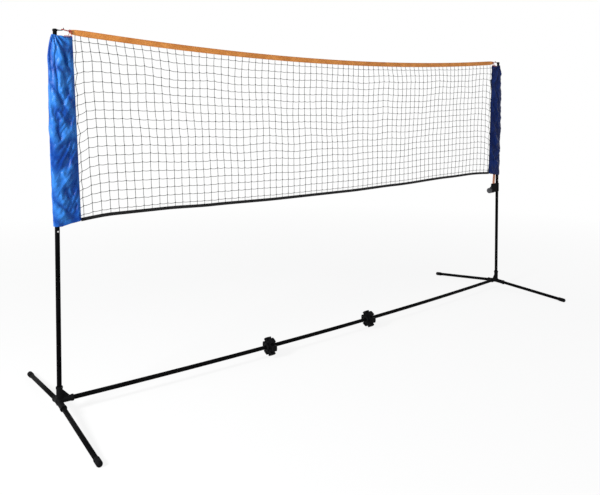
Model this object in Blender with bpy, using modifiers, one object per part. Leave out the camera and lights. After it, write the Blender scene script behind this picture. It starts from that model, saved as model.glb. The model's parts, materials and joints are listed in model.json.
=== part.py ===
"""Mini volleyball net: a free-standing net on two telescopic posts, joined by a low crossbar.

Metres, +Z up. The origin is on the floor midway between the posts, +X runs to the right post and
-Y to the side that the net is seen from.
"""

import math

import bmesh
import bpy
from mathutils import Matrix, Vector

# Driving dimensions of the whole object
SPAN = 3.0  # between the post axes
POST_TOP = 1.535  # end of the upper tubes
BAR_AXIS_Z = 0.060
BAR_BOW = 0.055  # how far the crossbar bends forward at mid-span
FOOT_REACH = 0.482  # from post axis to the end of a foot tube
FOOT_TIP_Z = 0.0106  # tube axis above the floor at its end
FOOT_ROOT_Z = 0.052  # tube axis height where it would meet the post axis
FIT_GAP = 0.0004  # between a piece and the one it slides on
HALF_SPAN = SPAN / 2
BAR_TURN = math.atan(4 * BAR_BOW / SPAN)  # how far each connector follows the bowed bar

# Tubes
TUBE_R = 0.0095
TUBE_WALL = 0.0010
BORE_R = TUBE_R + FIT_GAP  # of a socket, cap or collet that takes a tube
UPPER_R = 0.0079
TUBE_SIDES = 16
BAR_SIDES = 12
LOWER_TOP = 0.800
LOWER_BOTTOM = 0.0750
UPPER_BOTTOM = 0.640

# Height adjustment: one button hole for each position
BUTTON_Z = 0.742
HOLE_PITCH = 0.090
HOLE_COUNT = 7
HOLE_R = 0.0042
BUTTON_R = 0.0037
BUTTON_TRAVEL = 0.0030
STEM_R = 0.0010

# Base connector sockets
SOCKET_R = 0.0122
COLLAR_R = 0.0138
COLLAR_LENGTH = 0.009
POST_SOCKET_TOP = 0.117
BAR_SOCKET_END = 0.056
FOOT_SOCKET_END = 0.060
SOCKET_FLOOR = 0.0140  # where the sideways bores end, from the post axis
POST_SOCKET_START = 0.042
HUB_R = 0.0162
HUB_Z = 0.056
GUSSET_HALF = 0.0032

# Foot caps
FOOT_CAP_R = 0.0118
FOOT_CAP_LENGTH = 0.041
FOOT_CAP_DEPTH = 0.034  # how far the foot tube enters it

# Crossbar couplings
STAR_X = (-0.481, 0.203)
STAR_LOBES = 6
STAR_R = 0.0450
STAR_CORNER = (0.0425, 0.0150)  # of a lobe, along and across its middle line
STAR_ROOT = (0.0275, 0.0105)  # where a lobe's side meets the notch
STAR_NOTCH_R = 0.0262
STAR_THICKNESS = 0.028
STAR_BORE_R = 0.0150
STAR_RIM = 0.003
COLLET_HALF = 0.026
COLLET_FLANGE_R = 0.0185
SPIGOT_R = 0.0077
SPIGOT_HALF = 0.045
BAR_PIECES = 6  # straight runs in each bent bar tube
TUBE_END_GAP = 0.0002  # from a tube's end to the middle of its joint

# Net, tapes and sleeves
NET_COLUMNS = 26
NET_ROWS = 7
NET_CORD = 0.0030
NET_THICKNESS = 0.0016
NET_LOW = 0.78
NET_HIGH = 1.52
NET_TUCK = 0.006  # how far the net runs into a sleeve
NET_CORNER_PULL = 0.018  # how far its top corners lie inside the sleeve's seam
NET_END_DROOP = 0.020
TOP_TAPE_END_Z = 1.5345
TOP_TAPE_SAG = 0.0555
TOP_TAPE_HEIGHT = 0.025
BOTTOM_TAPE_HEIGHT = 0.014
TOP_TAPE_START = 0.062  # from the post axis to the tape's end
BOTTOM_TAPE_START = 0.0985
TAPE_THICKNESS = 0.0010
TAPE_SLOT = 0.0026
BOTTOM_EDGE = (
    (-1.50, 0.773),
    (-1.26, 0.789),
    (-1.03, 0.789),
    (-0.77, 0.7825),
    (-0.38, 0.7775),
    (0.10, 0.7775),
    (0.47, 0.7835),
    (0.98, 0.797),
    (1.23, 0.802),
    (1.50, 0.794),
)
SLEEVE_TOP = 1.518
SLEEVE_BOTTOM = {-1: 0.777, 1: 0.795}  # the net hangs higher at the right post
SLEEVE_WALL = 0.0012
SLEEVE_BELLY = 0.0160  # how far a panel stands off the net's plane round the post
SLEEVE_FOLD = 0.0042
SLEEVE_FOLD_WAVES = 3.5
SLEEVE_COLUMNS = 8
SLEEVE_ROWS = 12

# Corner fittings: an eyelet in each end of the top tape, tied to the cap's hook
EYELET_IN = 0.0710  # from the post axis
EYELET_R = 0.0028
LOOP_CORD_R = 0.0013
LOOP_HALF_WIDTH = 0.0051
LOOP_NEAR = 0.0263  # from the post axis to the end that the hook holds
HOOK_R = 0.0016
HOOK_RISE = 0.0052  # hook wire above the upper tube's end

# Tension clamp on the right post
CLAMP_LOW = 0.666
CLAMP_HIGH = 0.722
CLAMP_RING_R = 0.0125
ARM_LOW = 0.660
ARM_STEP = 0.696  # top of the arm beyond the strap's neck
ARM_END = 0.0735  # from the post axis
ARM_HALF_WIDTH = 0.0085
KNOB_R = 0.0183
KNOB_START = 0.0741
KNOB_END = 0.0925
KNOB_Z = 0.676
SCREW_R = 0.0025
STRAP_IN = 0.040  # from the post axis to the strap's middle
STRAP_WIDTH = 0.025
STRAP_THICKNESS = 0.0016
STRAP_TOP = 0.818
STRAP_END = 0.713


def clear_scene():
    for obj in list(bpy.data.objects):
        bpy.data.objects.remove(obj, do_unlink=True)


def new_collection(name, hidden=False):
    made = bpy.data.collections.new(name)
    bpy.context.scene.collection.children.link(made)
    made.hide_render = hidden
    return made


clear_scene()
PARTS = new_collection("mini_volleyball_net")
HELPERS = new_collection("cutters", hidden=True)


def finish_material(name, colour, roughness, metallic=0.0):
    made = bpy.data.materials.new(name)
    made.use_nodes = True
    shader = made.node_tree.nodes["Principled BSDF"]
    shader.inputs["Base Color"].default_value = (*colour, 1.0)
    shader.inputs["Roughness"].default_value = roughness
    shader.inputs["Metallic"].default_value = metallic
    return made


BLACK_TUBE = finish_material("black_painted_tube", (0.012, 0.012, 0.014), 0.35, 0.2)
BLACK_PLASTIC = finish_material("black_plastic", (0.016, 0.017, 0.021), 0.5)
GREY_PLASTIC = finish_material("grey_plastic", (0.11, 0.11, 0.115), 0.5)
STEEL = finish_material("steel", (0.62, 0.62, 0.62), 0.3, 1.0)
BLUE_NYLON = finish_material("blue_nylon", (0.014, 0.075, 0.48), 0.38)
ORANGE_WEBBING = finish_material("orange_webbing", (0.62, 0.20, 0.03), 0.75)
BLACK_WEBBING = finish_material("black_webbing", (0.015, 0.015, 0.018), 0.8)
NET_TWINE = finish_material("net_twine", (0.02, 0.026, 0.024), 0.8)
RED_CORD = finish_material("red_cord", (0.48, 0.09, 0.05), 0.7)


def add_object(name, mesh, material, matrix=Matrix(), collection=PARTS):
    obj = bpy.data.objects.new(name, mesh)
    if material is not None and not mesh.materials:
        mesh.materials.append(material)
    obj.matrix_world = matrix
    collection.objects.link(obj)
    if collection is HELPERS:
        obj.display_type = "WIRE"
        obj.hide_render = True
    return obj


def carry(parent, *children):
    """Parents objects and keeps them where they are."""
    for child in children:
        child.parent = parent
        child.matrix_parent_inverse = parent.matrix_world.inverted()


def axis_empty(name, place):
    """An empty on a joint's axis, which the moving pieces hang from."""
    obj = bpy.data.objects.new(name, None)
    obj.matrix_world = Matrix.Translation(place)
    obj.empty_display_size = 0.05
    PARTS.objects.link(obj)
    return obj


def mesh_of(name, bm, closed=True):
    if closed:
        bmesh.ops.recalc_face_normals(bm, faces=bm.faces)
    mesh = bpy.data.meshes.new(name)
    bm.to_mesh(mesh)
    bm.free()
    return mesh


def smooth(mesh, angle=35):
    mesh.shade_smooth()
    mesh.set_sharp_from_angle(angle=math.radians(angle))


def evaluated_mesh(obj, name):
    """The object's mesh with its modifiers applied and its caps welded."""
    bpy.context.view_layer.update()
    graph = bpy.context.evaluated_depsgraph_get()
    mesh = bpy.data.meshes.new_from_object(obj.evaluated_get(graph))
    mesh.name = name
    bm = bmesh.new()
    bm.from_mesh(mesh)
    bmesh.ops.remove_doubles(bm, verts=bm.verts, dist=0.000001)
    bmesh.ops.recalc_face_normals(bm, faces=bm.faces)
    bm.to_mesh(mesh)
    bm.free()
    return mesh


def curve_object(name, points, radius, sides, caps, cyclic=False):
    """A round bar along straight runs between the points."""
    curve = bpy.data.curves.new(name, "CURVE")
    curve.dimensions = "3D"
    curve.bevel_depth = radius
    curve.bevel_resolution = (sides - 4) // 2
    curve.use_fill_caps = caps
    spline = curve.splines.new("POLY")
    spline.points.add(len(points) - 1)
    for at, point in zip(spline.points, points):
        at.co = (*point, 1.0)
    spline.use_cyclic_u = cyclic
    obj = bpy.data.objects.new(name + "_curve", curve)
    HELPERS.objects.link(obj)
    return obj


def rod_mesh(name, points, radius, sides, caps=True, cyclic=False):
    obj = curve_object(name, points, radius, sides, caps, cyclic)
    mesh = evaluated_mesh(obj, name)
    bpy.data.objects.remove(obj, do_unlink=True)
    mesh.materials.clear()
    smooth(mesh)
    return mesh


def rod(name, points, radius, sides, material, cyclic=False):
    mesh = rod_mesh(name, points, radius, sides, caps=not cyclic, cyclic=cyclic)
    return add_object(name, mesh, material)


def hollow_tube(name, points, radius, material, sides=TUBE_SIDES, wall=TUBE_WALL):
    """An open-ended tube: the outer skin with Solidify inwards."""
    obj = add_object(name, rod_mesh(name, points, radius, sides, caps=False), material)
    thicken(obj, wall)
    return obj


def thicken(obj, wall, offset=-1.0):
    made = obj.modifiers.new("wall", "SOLIDIFY")
    made.thickness = wall
    made.offset = offset
    made.use_even_offset = True
    return made


def boolean(obj, other, operation="DIFFERENCE"):
    made = obj.modifiers.new(other.name, "BOOLEAN")
    made.operation = operation
    made.object = other
    made.solver = "EXACT"
    return made


def turned_mesh(name, profile, steps=TUBE_SIDES):
    """A turned shape round Z. The profile is (radius, height) pairs down its outer side."""
    mesh = bpy.data.meshes.new(name)
    edges = [(i, i + 1) for i in range(len(profile) - 1)]
    if profile[0][0] > 0:
        edges.append((len(profile) - 1, 0))
    mesh.from_pydata([(r, 0.0, z) for r, z in profile], edges, [])
    obj = add_object(name + "_profile", mesh, None, collection=HELPERS)
    screw = obj.modifiers.new("turn", "SCREW")
    screw.steps = steps
    screw.render_steps = steps
    screw.use_merge_vertices = True
    screw.merge_threshold = 0.00005
    made = evaluated_mesh(obj, name)
    bpy.data.objects.remove(obj, do_unlink=True)
    smooth(made)
    return made


def ring_profile(outer, inner, low, high, chamfer):
    """A ring with its two outer rims chamfered."""
    return [
        (outer - chamfer, high),
        (outer, high - chamfer),
        (outer, low + chamfer),
        (outer - chamfer, low),
        (inner, low),
        (inner, high),
    ]


def cylinder_mesh(name, radius, low, high, sides=TUBE_SIDES):
    bm = bmesh.new()
    bmesh.ops.create_cone(
        bm, cap_ends=True, segments=sides, radius1=radius, radius2=radius, depth=high - low,
        matrix=Matrix.Translation((0, 0, (low + high) / 2)),
    )
    return mesh_of(name, bm)


def box_mesh(name, low, high):
    bm = bmesh.new()
    size = Vector(high) - Vector(low)
    centre = (Vector(high) + Vector(low)) / 2
    bmesh.ops.create_cube(bm, size=1.0, matrix=Matrix.Translation(centre) @ Matrix.Diagonal((*size, 1)))
    return mesh_of(name, bm)


def along(direction, place=(0, 0, 0)):
    """A matrix that takes +Z to the direction, at the place."""
    turn = Vector((0, 0, 1)).rotation_difference(Vector(direction).normalized())
    return Matrix.Translation(place) @ turn.to_matrix().to_4x4()


# Base: connectors, feet and crossbar


def bar_point(x):
    """The crossbar's centre line, a shallow bow in the horizontal plane."""
    return Vector((x, -BAR_BOW * (1 - (x / HALF_SPAN) ** 2), BAR_AXIS_Z))


def bar_direction(x):
    return Vector((1, 2 * BAR_BOW * x / HALF_SPAN**2, 0)).normalized()


def foot_direction(side):
    """From the post outwards and down, in the connector's own frame."""
    drop = FOOT_ROOT_Z - FOOT_TIP_Z
    return Vector((0, side * FOOT_REACH, -drop)).normalized()


def connector_matrix(side):
    turn = -BAR_TURN if side < 0 else math.pi + BAR_TURN
    return Matrix.Translation((side * HALF_SPAN, 0, 0)) @ Matrix.Rotation(turn, 4, "Z")


def socket_mesh(name, start, end, steps=TUBE_SIDES):
    """A closed socket blank with its collar, later bored out."""
    lip = end - COLLAR_LENGTH
    profile = [
        (0, end),
        (COLLAR_R - 0.001, end),
        (COLLAR_R, end - 0.001),
        (COLLAR_R, lip + 0.001),
        (SOCKET_R, lip),
        (SOCKET_R, start),
        (0, start),
    ]
    return turned_mesh(name, profile, steps)


def gusset_mesh():
    """The web between the post socket and the bar socket."""
    outline = [(0.002, 0.054), (0.043, 0.0615), (0.040, 0.0735), (0.0125, 0.103), (0.002, 0.1035)]
    bm = bmesh.new()
    front = [bm.verts.new((x, -GUSSET_HALF, z)) for x, z in outline]
    face = bm.faces.new(front)
    grown = bmesh.ops.extrude_face_region(bm, geom=[face])["geom"]
    moved = [v for v in grown if isinstance(v, bmesh.types.BMVert)]
    bmesh.ops.translate(bm, verts=moved, vec=(0, 2 * GUSSET_HALF, 0))
    return mesh_of("gusset", bm)


def hub_mesh():
    bm = bmesh.new()
    bmesh.ops.create_uvsphere(bm, u_segments=12, v_segments=8, radius=HUB_R)
    return mesh_of("hub", bm)


def connector_mesh():
    """The four-way base connector in its own frame, the bar socket along +X."""
    blank = socket_mesh("post_socket", POST_SOCKET_START, POST_SOCKET_TOP)
    post_socket = add_object("post_socket", blank, None, collection=HELPERS)
    # The hub is turned a little, so that none of its corners lies on a socket's seam.
    hub_place = Matrix.Translation((0, 0, HUB_Z)) @ Matrix.Rotation(0.13, 4, (1, 2, 5))
    hub = add_object("hub", hub_mesh(), None, hub_place, HELPERS)
    boolean(post_socket, hub, "UNION")
    bar_axis = along((1, 0, 0), (0, 0, BAR_AXIS_Z))
    bar_socket = add_object(
        "bar_socket", socket_mesh("bar_socket", -0.003, BAR_SOCKET_END), None, bar_axis, HELPERS
    )
    boolean(post_socket, bar_socket, "UNION")
    foot_axes = []
    for side, word in ((1, "back"), (-1, "front")):
        axis = along(foot_direction(side), (0, 0, FOOT_ROOT_Z))
        foot_axes.append(axis)
        blank = socket_mesh("foot_socket_" + word, 0.002 * side, FOOT_SOCKET_END)
        socket = add_object("foot_socket_" + word, blank, None, axis, HELPERS)
        boolean(post_socket, socket, "UNION")
    gusset = add_object("gusset", gusset_mesh(), None, collection=HELPERS)
    boolean(post_socket, gusset, "UNION")
    post_bore = cylinder_mesh("post_bore", BORE_R, LOWER_BOTTOM - FIT_GAP, POST_SOCKET_TOP + 0.01)
    boolean(post_socket, add_object("post_bore", post_bore, None, collection=HELPERS))
    side_bore = cylinder_mesh("side_bore", BORE_R, SOCKET_FLOOR, FOOT_SOCKET_END + 0.01)
    for number, axis in enumerate([*foot_axes, bar_axis]):
        place = axis @ Matrix.Rotation(0.05, 4, "Z")
        cutter = add_object(f"side_bore_{number}", side_bore, None, place, HELPERS)
        boolean(post_socket, cutter)
    made = evaluated_mesh(post_socket, "base_connector")
    smooth(made, 30)
    return made


def foot_cap_mesh():
    """A rounded plug over the end of a foot, along +Z with its mouth at zero."""
    length = FOOT_CAP_LENGTH
    profile = [
        (0, length),
        (0.0045, length - 0.0004),
        (0.0085, length - 0.0022),
        (0.0108, length - 0.0052),
        (FOOT_CAP_R, length - 0.0090),
        (FOOT_CAP_R, 0.0008),
        (FOOT_CAP_R - 0.0008, 0),
        (BORE_R, 0),
        (BORE_R, FOOT_CAP_DEPTH),
        (0, FOOT_CAP_DEPTH),
    ]
    return turned_mesh("foot_cap", profile)


def make_base():
    connector = connector_mesh()
    cap = foot_cap_mesh()
    floor_cut = box_mesh("floor_cut", (-3, -3, -0.1), (3, 3, 0.0))
    floor = add_object("floor_cut", floor_cut, None, collection=HELPERS)
    for side, word in ((-1, "left"), (1, "right")):
        matrix = connector_matrix(side)
        add_object("base_connector_" + word, connector, BLACK_PLASTIC, matrix)
        for way, way_word in ((1, "back"), (-1, "front")):
            # The right connector is turned half round, so its own front and back swap.
            own_way = way if side < 0 else -way
            axis = matrix @ along(foot_direction(own_way), (0, 0, FOOT_ROOT_Z))
            ends = [axis @ Vector((0, 0, s)) for s in (SOCKET_FLOOR + FIT_GAP, FOOT_REACH)]
            hollow_tube(f"foot_tube_{word}_{way_word}", ends, TUBE_R, BLACK_TUBE)
            cap_at = axis @ Matrix.Translation((0, 0, FOOT_REACH + FIT_GAP - FOOT_CAP_DEPTH))
            foot_cap = add_object(f"foot_cap_{word}_{way_word}", cap, BLACK_PLASTIC, cap_at)
            boolean(foot_cap, floor)


def bar_run(start, end, pieces):
    return [bar_point(start + (end - start) * i / pieces) for i in range(pieces + 1)]


def star_outline(inset):
    """The nut's outline as (radius, angle) pairs: flat-ended lobes that widen outwards."""
    (corner, half_tip), (root, half_root) = STAR_CORNER, STAR_ROOT
    lobe = [
        (root - inset, inset - half_root),
        (corner - 1.4 * inset, inset - half_tip),
        (corner + 0.0012 - inset, inset - half_tip + 0.0035),
        (STAR_R - inset, 0),
        (corner + 0.0012 - inset, half_tip - 0.0035 - inset),
        (corner - 1.4 * inset, half_tip - inset),
        (root - inset, half_root - inset),
    ]
    pitch = 2 * math.pi / STAR_LOBES
    outline = []
    for number in range(STAR_LOBES):
        outline.append((STAR_NOTCH_R - inset, pitch * (number - 0.5)))
        outline += [(math.hypot(a, b), math.atan2(b, a) + pitch * number) for a, b in lobe]
    return outline


def star_mesh():
    """A six-lobed locking nut with rounded rims, its bore along Z."""
    curve = bpy.data.curves.new("star", "CURVE")
    curve.dimensions = "2D"
    curve.fill_mode = "BOTH"
    curve.extrude = STAR_THICKNESS / 2 - STAR_RIM
    curve.bevel_depth = STAR_RIM
    curve.bevel_resolution = 1
    outline = star_outline(STAR_RIM)
    bore = [(STAR_BORE_R + STAR_RIM, -2 * math.pi * i / TUBE_SIDES) for i in range(TUBE_SIDES)]
    for points in (outline, bore):
        spline = curve.splines.new("POLY")
        spline.points.add(len(points) - 1)
        for at, (radius, angle) in zip(spline.points, points):
            at.co = (radius * math.cos(angle), radius * math.sin(angle), 0, 1)
        spline.use_cyclic_u = True
    obj = bpy.data.objects.new("star_curve", curve)
    HELPERS.objects.link(obj)
    mesh = evaluated_mesh(obj, "star_nut")
    bpy.data.objects.remove(obj, do_unlink=True)
    mesh.materials.clear()
    smooth(mesh, 40)
    return mesh


def collet_mesh():
    """The split bush round a bar joint, with a flange on each side of the nut."""
    body = STAR_BORE_R - FIT_GAP
    flange_low = STAR_THICKNESS / 2 + FIT_GAP
    half = COLLET_HALF
    profile = [
        (0.0118, half),
        (0.0135, half - 0.0015),
        (COLLET_FLANGE_R, half - 0.0050),
        (COLLET_FLANGE_R, flange_low),
        (body, flange_low),
        (body, -flange_low),
        (COLLET_FLANGE_R, -flange_low),
        (COLLET_FLANGE_R, -half + 0.0050),
        (0.0135, -half + 0.0015),
        (0.0118, -half),
        (BORE_R, -half),
        (BORE_R, half),
    ]
    return turned_mesh("joint_collet", profile)


def make_crossbar():
    star = star_mesh()
    collet = collet_mesh()
    start = SOCKET_FLOOR + FIT_GAP
    joints = (-HALF_SPAN + start, *STAR_X, HALF_SPAN - start)
    words = ("left", "middle", "right")
    for word, low, high in zip(words, joints[:-1], joints[1:]):
        first = low + (TUBE_END_GAP if low in STAR_X else 0)
        last = high - (TUBE_END_GAP if high in STAR_X else 0)
        run = bar_run(first, last, BAR_PIECES)
        hollow_tube(f"bar_tube_{word}", run, TUBE_R, BLACK_TUBE, BAR_SIDES)
    for word, x in zip(("left", "right"), STAR_X):
        at = along(bar_direction(x), bar_point(x))
        spigot = bar_run(x - SPIGOT_HALF, x + SPIGOT_HALF, 3)
        rod(f"bar_spigot_{word}", spigot, SPIGOT_R, BAR_SIDES, STEEL)
        add_object(f"joint_collet_{word}", collet, BLACK_PLASTIC, at)
        hinge = axis_empty(f"star_axis_{word}", bar_point(x))
        # Two lobes point sideways, and the others stand in pairs above and below.
        turned = at @ Matrix.Rotation(math.pi / 2, 4, "Z")
        nut = add_object(f"star_nut_{word}", star, BLACK_PLASTIC, turned)
        carry(hinge, nut)


# Posts


def make_posts(slide):
    hole = cylinder_mesh("button_hole", HOLE_R, 0.0, 0.02, 10)
    bush = turned_mesh("guide_bush", bush_profile())
    plug = turned_mesh("tube_end_bush", end_bush_profile())
    for side, word in ((-1, "left"), (1, "right")):
        x = side * HALF_SPAN
        lower = hollow_tube(
            "lower_post_" + word, [(x, 0, LOWER_BOTTOM), (x, 0, LOWER_TOP)], TUBE_R, BLACK_TUBE
        )
        upper = hollow_tube(
            "upper_post_" + word, [(x, 0, UPPER_BOTTOM), (x, 0, POST_TOP)], UPPER_R, BLACK_TUBE
        )
        for number in range(HOLE_COUNT):
            at = along((0, -1, 0), (x, 0, BUTTON_Z - number * HOLE_PITCH))
            cutter = add_object(f"button_hole_{word}_{number}", hole, None, at, HELPERS)
            boolean(lower, cutter)
            if number == 0:
                boolean(upper, cutter)
        add_object("guide_bush_" + word, bush, BLACK_PLASTIC, Matrix.Translation((x, 0, LOWER_TOP)))
        end_bush = add_object(
            "tube_end_bush_" + word, plug, BLACK_PLASTIC, Matrix.Translation((x, 0, UPPER_BOTTOM))
        )
        carry(slide, upper, end_bush)
        make_snap_button(word, x, slide)
        make_post_cap(word, x, side, slide)


def bush_profile():
    """A collar that sits over the lower tube's end and guides the upper tube."""
    outer = TUBE_R + 0.0016
    cup = TUBE_R + 0.0003
    bore = UPPER_R + FIT_GAP
    lip = 0.003
    return [
        (outer - 0.0008, lip + 0.0003),
        (outer, lip - 0.0005),
        (outer, -0.020),
        (cup, -0.020),
        (cup, 0.0003),
        (bore, 0.0003),
        (bore, lip + 0.0003),
    ]


def end_bush_profile():
    """A plug under the upper tube that fills the lower tube's bore, open through its middle."""
    outer = TUBE_R - TUBE_WALL - FIT_GAP + 0.0001
    inner = UPPER_R - TUBE_WALL - FIT_GAP + 0.0001
    return [
        (inner, 0.014),
        (inner, -0.0003),
        (outer, -0.0003),
        (outer, -0.0075),
        (0.0040, -0.0075),
        (0.0040, 0.014),
    ]


def make_snap_button(word, x, slide):
    """A pressed-in button on the free leg of a bent strip spring inside the upper tube."""
    inner = UPPER_R - TUBE_WALL
    reach = TUBE_R + 0.0018
    profile = [
        (0, reach),
        (0.0017, reach - 0.0001),
        (BUTTON_R - 0.0006, reach - 0.0008),
        (BUTTON_R, reach - 0.0020),
        (BUTTON_R, inner - 0.0010),
        (STEM_R, inner - 0.0010),
        (STEM_R, inner - 0.0010 - BUTTON_TRAVEL - 0.0018),
        (0, inner - 0.0010 - BUTTON_TRAVEL - 0.0018),
    ]
    press = axis_empty("snap_axis_" + word, (x, 0, BUTTON_Z))
    place = along((0, -1, 0), (x, 0, BUTTON_Z))
    button = add_object("snap_button_" + word, turned_mesh("snap_button", profile, 12), STEEL, place)
    carry(press, button)
    carry(slide, press)
    carry(slide, add_object("snap_spring_" + word, spring_mesh(x, inner), STEEL))


def spring_mesh(x, inner):
    """A strip bent like a hairpin: one leg on the far wall, the other holed for the button's stem.

    The free leg stands where the pressed button brings it, so that the button can travel.
    """
    half, wall = 0.0028, 0.0005
    far = inner - 0.0016
    near = -(inner - 0.0010 - BUTTON_TRAVEL - FIT_GAP - wall / 2)
    low, high = BUTTON_Z - 0.034, BUTTON_Z + 0.005
    bend = 0.0025
    line = [(far, high - 0.012), (far, low + bend)]
    line += [
        (far * math.cos(a), low + bend - bend * math.sin(a))
        for a in (math.pi * i / 8 for i in range(1, 8))
    ]
    line += [(-far, low + bend), (near, BUTTON_Z - 0.008), (near, high)]
    bm = bmesh.new()
    rows = [[bm.verts.new((x + s * half, y, z)) for s in (-1, 1)] for y, z in line]
    for a, b in zip(rows[:-1], rows[1:]):
        bm.faces.new((a[0], a[1], b[1], b[0]))
    mesh = mesh_of("snap_spring", bm, closed=False)
    obj = add_object("snap_spring_sheet", mesh, None, collection=HELPERS)
    thicken(obj, wall, 0.0)
    stem_hole = cylinder_mesh("stem_hole", STEM_R + FIT_GAP, -0.001, 0.006, 12)
    at = along((0, -1, 0), (x, 0, BUTTON_Z))
    boolean(obj, add_object("stem_hole", stem_hole, None, at, HELPERS))
    made = evaluated_mesh(obj, "snap_spring")
    bpy.data.objects.remove(obj, do_unlink=True)
    return made


def make_post_cap(word, x, side, slide):
    """A push-in plug with a domed head, and a wire hook through it towards the net."""
    stem = UPPER_R - TUBE_WALL - 0.0003
    profile = [
        (0, 0.0105),
        (0.0050, 0.0102),
        (0.0082, 0.0088),
        (0.0097, 0.0062),
        (0.0097, 0.0003),
        (stem, 0.0003),
        (stem, -0.022),
        (0, -0.022),
    ]
    cap = add_object(
        "post_cap_" + word, turned_mesh("post_cap", profile), BLACK_PLASTIC,
        Matrix.Translation((x, 0, POST_TOP)),
    )
    level = POST_TOP + HOOK_RISE
    inward = -side
    path = [(x + inward * s, 0, level + lift) for s, lift in (
        (-0.004, 0), (0.0223, 0), (0.0298, 0.0012), (0.0338, 0.0048), (0.0345, 0.0090))]
    hook = rod("cap_hook_" + word, path, HOOK_R, 10, STEEL)
    hole = add_object(
        "hook_hole_" + word,
        cylinder_mesh("hook_hole", HOOK_R + FIT_GAP, -0.0046, 0.02, 12),
        None, along((inward, 0, 0), (x, 0, level)), HELPERS,
    )
    boolean(cap, hole)
    carry(slide, cap, hook)


# Net, tapes and sleeves


def smooth_between(points, x):
    """A height read from a list of places, eased between them."""
    for (x0, z0), (x1, z1) in zip(points[:-1], points[1:]):
        if x <= x1:
            t = (x - x0) / (x1 - x0)
            return z0 + (z1 - z0) * t * t * (3 - 2 * t)
    return points[-1][1]


def top_edge(x):
    return TOP_TAPE_END_Z - TOP_TAPE_SAG * (1 - (x / (HALF_SPAN - 0.09)) ** 2)


def bottom_edge(x):
    return smooth_between(BOTTOM_EDGE, x)


def sleeve_share(z):
    """How far up a sleeve a height lies, from its bottom to its top."""
    return (z - SLEEVE_BOTTOM[-1]) / (SLEEVE_TOP - SLEEVE_BOTTOM[-1])


def sleeve_inner(z):
    """How far the seam between sleeve and net lies from the post."""
    return 0.097 - 0.0275 * sleeve_share(z)


def sleeve_outer(z):
    """How far the fold lies outside the post: drawn in at both ends."""
    t = sleeve_share(z)
    return 0.0150 + 0.0165 * math.sin(math.pi * min(0.5, 0.75 * t)) - 0.012 * t**16


def net_point(u, v):
    """A point of the net's sheet: u runs left to right and v from the bottom tape to the top one."""
    z = NET_LOW + v * (NET_HIGH - NET_LOW)
    reach = HALF_SPAN - sleeve_inner(z) + NET_TUCK - NET_CORNER_PULL * v**10
    x = reach * (2 * u - 1)
    bottom = bottom_edge(x) - 0.05 * BOTTOM_TAPE_HEIGHT
    top = top_edge(x) + 0.05 * TOP_TAPE_HEIGHT
    ends = 1 - min(1, min(u, 1 - u) * NET_COLUMNS / 1.2)
    droop = NET_END_DROOP * ends * math.sin(math.pi * v)
    return Vector((x, 0, bottom + (top - bottom) * v - droop))


def make_net(slide):
    """A lattice of square meshes: a sheet of cells, each opened by an inset, then thickened."""
    bm = bmesh.new()
    grid = [
        [bm.verts.new(net_point(i / NET_COLUMNS, j / NET_ROWS)) for i in range(NET_COLUMNS + 1)]
        for j in range(NET_ROWS + 1)
    ]
    cells = [
        bm.faces.new((grid[j][i], grid[j][i + 1], grid[j + 1][i + 1], grid[j + 1][i]))
        for j in range(NET_ROWS)
        for i in range(NET_COLUMNS)
    ]
    bm.normal_update()
    bmesh.ops.inset_individual(bm, faces=cells, thickness=NET_CORD / 2, use_even_offset=True)
    bmesh.ops.delete(bm, geom=cells, context="FACES")
    obj = add_object("net_mesh", mesh_of("net_mesh", bm, closed=False), NET_TWINE)
    thicken(obj, NET_THICKNESS, 0.0)
    carry(slide, obj)


def folded_tape(name, edge, height, mouth_down, material, reach, pieces):
    """Webbing folded over the net's edge: a U section swept along the edge line."""
    half = TAPE_SLOT / 2 + TAPE_THICKNESS
    slot = TAPE_SLOT / 2
    low, high = -height / 2, height / 2
    fold = 0.0012
    section = [
        (-half, low), (-slot, low), (-slot, high - TAPE_THICKNESS), (slot, high - TAPE_THICKNESS),
        (slot, low), (half, low), (half, high - fold), (half - fold, high), (-half + fold, high),
        (-half, high - fold),
    ]
    if not mouth_down:
        section = [(y, -z) for y, z in section]
    bm = bmesh.new()
    rings = []
    for i in range(pieces + 1):
        x = reach * (2 * i / pieces - 1)
        rings.append([bm.verts.new((x, y, edge(x) + z)) for y, z in section])
    count = len(section)
    for a, b in zip(rings[:-1], rings[1:]):
        for k in range(count):
            bm.faces.new((a[k], a[(k + 1) % count], b[(k + 1) % count], b[k]))
    bm.faces.new(rings[0])
    bm.faces.new(list(reversed(rings[-1])))
    mesh = mesh_of(name, bm)
    smooth(mesh)
    return add_object(name, mesh, material)


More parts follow.
